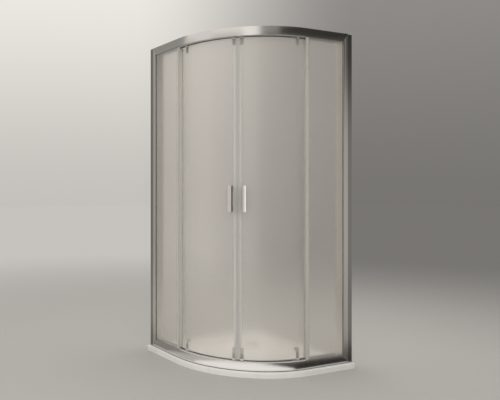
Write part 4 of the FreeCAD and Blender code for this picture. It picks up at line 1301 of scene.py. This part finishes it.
@dataclass(frozen=True)
class Studio:
    """A pale floor and backdrop, soft lamps, and cards for the metal to mirror."""

    aim: Place = (0.0, 0.0, 0.9)
    backdrop: Colour = (0.74, 0.72, 0.69)
    dim_heading: float = 143.0
    dim_reach: float = 0.17
    dim_share: Colour = (0.40, 0.395, 0.39)
    bright_share: Colour = (1.20, 1.19, 1.17)
    horizon_share: Colour = (0.62, 0.62, 0.62)
    horizon_span: Span = (-0.05, 0.4)
    daylight: Colour = (0.62, 0.61, 0.59)
    floor_size: float = 60.0
    floor_colour: Colour = (0.46, 0.45, 0.43)
    floor_tone: float = 0.96
    floor_scale: float = 1.4
    floor_roughness: float = 0.7
    fade: Span = (0.8, 6.5)
    # Name, azimuth, distance, level, size and brightness.
    softboxes: tuple[Softbox, ...] = (
        Softbox("key", -33.0, 3.6, 2.4, (2.2, 2.2), 2.0),
        Softbox("side", -100.0, 3.6, 1.8, (1.2, 2.6), 1.1),
        Softbox("overhead", 135.0, 0.5, 4.2, (2.4, 2.4), 3.6),
    )
    # Name, azimuth, distance, width, height and tone.
    cards: tuple[Card, ...] = (
        Card("bright_card", -34.0, 3.5, 1.3, 5.0, (1.0, 0.985, 0.965)),
        Card("bright_mat", -42.0, 0.34, 0.8, 0.9, (1.0, 0.98, 0.96), lying=True, foot=0.006),
        Card("side_mat", -76.0, 0.36, 0.9, 0.9, (0.52, 0.505, 0.49), lying=True, foot=0.005),
        Card("side_card", -98.0, 3.5, 1.5, 5.0, (0.80, 0.77, 0.79)),
        Card("dark_card", 40.0, 3.4, 5.4, 3.5, (0.02, 0.018, 0.016), foot=2.0),
        Card("dim_card", 40.0, 3.4, 5.4, 2.0, (0.44, 0.427, 0.405)),
        Card("dark_mat", 44.0, 0.40, 2.0, 0.75, (0.02, 0.018, 0.016), lying=True),
        Card("grey_card", -146.0, 3.4, 2.2, 3.5, (0.30, 0.29, 0.275)),
        Card("grey_mat", -128.0, 0.40, 2.2, 0.8, (0.24, 0.23, 0.215), lying=True),
    )

    def build(self) -> None:
        """Set up the floor, the world, the lamps and the cards."""
        self._floor()
        self._world()
        for softbox in self.softboxes:
            softbox.build(Vector(self.aim))
        for card in self.cards:
            card.build()
        bpy.context.scene.view_settings.view_transform = "Standard"

    def _backdrop(self, graph: Graph, direction: Wire) -> Wire:
        """Work out the backdrop's colour, which dims to one side and grows paler upwards.

        Args:
            graph: the graph that draws it.
            direction: the unit vector from the object to the backdrop.

        Returns:
            The backdrop's own colour times its two shares.
        """
        turn = math.radians(self.dim_heading + 90.0)
        aside = graph.dot(direction, (math.cos(turn), math.sin(turn), 0.0))
        upwards = graph.dot(direction, UPWARDS)
        brightness = graph.between(aside, -self.dim_reach, self.dim_reach)
        level = graph.mix(brightness, self.dim_share, self.bright_share)
        rise = graph.mix(graph.between(upwards, *self.horizon_span), self.horizon_share, WHITE)
        return graph.mix(1.0, graph.mix(1.0, level, rise, "MULTIPLY"), self.backdrop, "MULTIPLY")

    @staticmethod
    def _seen(graph: Graph) -> Wire:
        """Tell the rays that look at the backdrop: the camera's, and those off metal or through glass.

        Args:
            graph: the graph that needs to know.

        Returns:
            1 for such a ray, and 0 for any other.
        """
        ray = graph.add("LightPath")
        seen = (graph.out(ray, "Is Camera Ray") + graph.out(ray, "Is Transmission Ray")
                + graph.out(ray, "Is Glossy Ray"))
        return graph.math("MINIMUM", seen, 1.0)

    def _floor(self) -> None:
        """Lay a level floor that fades into the backdrop away from the object, and keeps its shadow."""
        material = bpy.data.materials.new("studio_floor")
        graph = Graph(material)
        mottle = graph.noise(graph.place(), self.floor_scale, detail=3.0)
        surface = graph.principled({
            "Base Color": graph.mix(mottle, toned(self.floor_colour, self.floor_tone), self.floor_colour),
            "Roughness": self.floor_roughness,
            "Specular IOR Level": 0.0,
        })
        distance = graph.out(graph.add("VectorMath", {"operation": "LENGTH"}, {0: graph.place()}), "Value")
        share = graph.between(distance, *self.fade) * self._seen(graph)
        glow = graph.glow(self._backdrop(graph, graph.direction(graph.place())))
        graph.finish(graph.either(share, surface, glow))
        half = self.floor_size / 2
        corners = [(-half, -half, 0), (half, -half, 0), (half, half, 0), (-half, half, 0)]
        sheet("floor", corners, material)

    def _world(self) -> None:
        """Make a pale backdrop where it is looked at, and plain soft light for everything else."""
        world = bpy.data.worlds.new("surround")
        bpy.context.scene.world = world
        graph = Graph(world)
        colour = self._backdrop(graph, graph.out(graph.add("TexCoord"), "Generated"))
        lit, seen = (graph.out(graph.add("Background", None, {"Color": light, "Strength": 1.0}))
                     for light in (self.daylight, colour))
        graph.add("OutputWorld", None, {"Surface": graph.either(self._seen(graph), lit, seen)})


@dataclass(frozen=True)
class Viewpoint:
    """The photograph's camera: level, and off-centre because the picture is a crop.

    The heading is in degrees, and the lens and the sensor are in millimetres.
    """

    place: Place = (3.1814, -2.4514, 1.0731)
    heading: float = 64.4
    lens: float = 45.2
    sensor: float = 36.0
    shift: tuple[float, float] = (0.276, -0.0258)

    def build(self) -> None:
        """Make the camera and use it."""
        camera = bpy.data.cameras.new("viewpoint")
        camera.lens = self.lens
        camera.sensor_width = self.sensor
        camera.shift_x, camera.shift_y = self.shift
        made = in_scene("viewpoint", camera)
        made.location = self.place
        made.rotation_euler = (math.radians(90), 0, math.radians(self.heading))
        bpy.context.scene.camera = made


def main() -> None:
    """Load the solids, dress them, add the made pieces and set up the studio."""
    logging.basicConfig(level=logging.INFO, format="%(message)s")
    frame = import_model()
    Viewpoint().build()
    Studio().build()
    finishes = Finishes()
    slots = {part["node"]: part["material_slot"] for part in frame["record"]["subparts"]}
    finishes.dress(frame["nodes"], slots)
    rolls = [joint for joint in frame["joints"] if joint["child"].endswith("_wheels")]
    workshop = Workshop(finishes, frame["nodes"], slots)
    layout = Layout()
    rails = Rails(layout, workshop)
    rails.build()
    FootSealPaintedShadow(layout, workshop, rails).build()
    MitredCorners(layout, workshop, rails).build()
    WasteCover(workshop).build()
    Rollers(workshop, rolls).build()
    ClampFasteners(layout, workshop, rolls).build()
    SoftEdges(workshop).build()


if __name__ == "__main__":
    main()
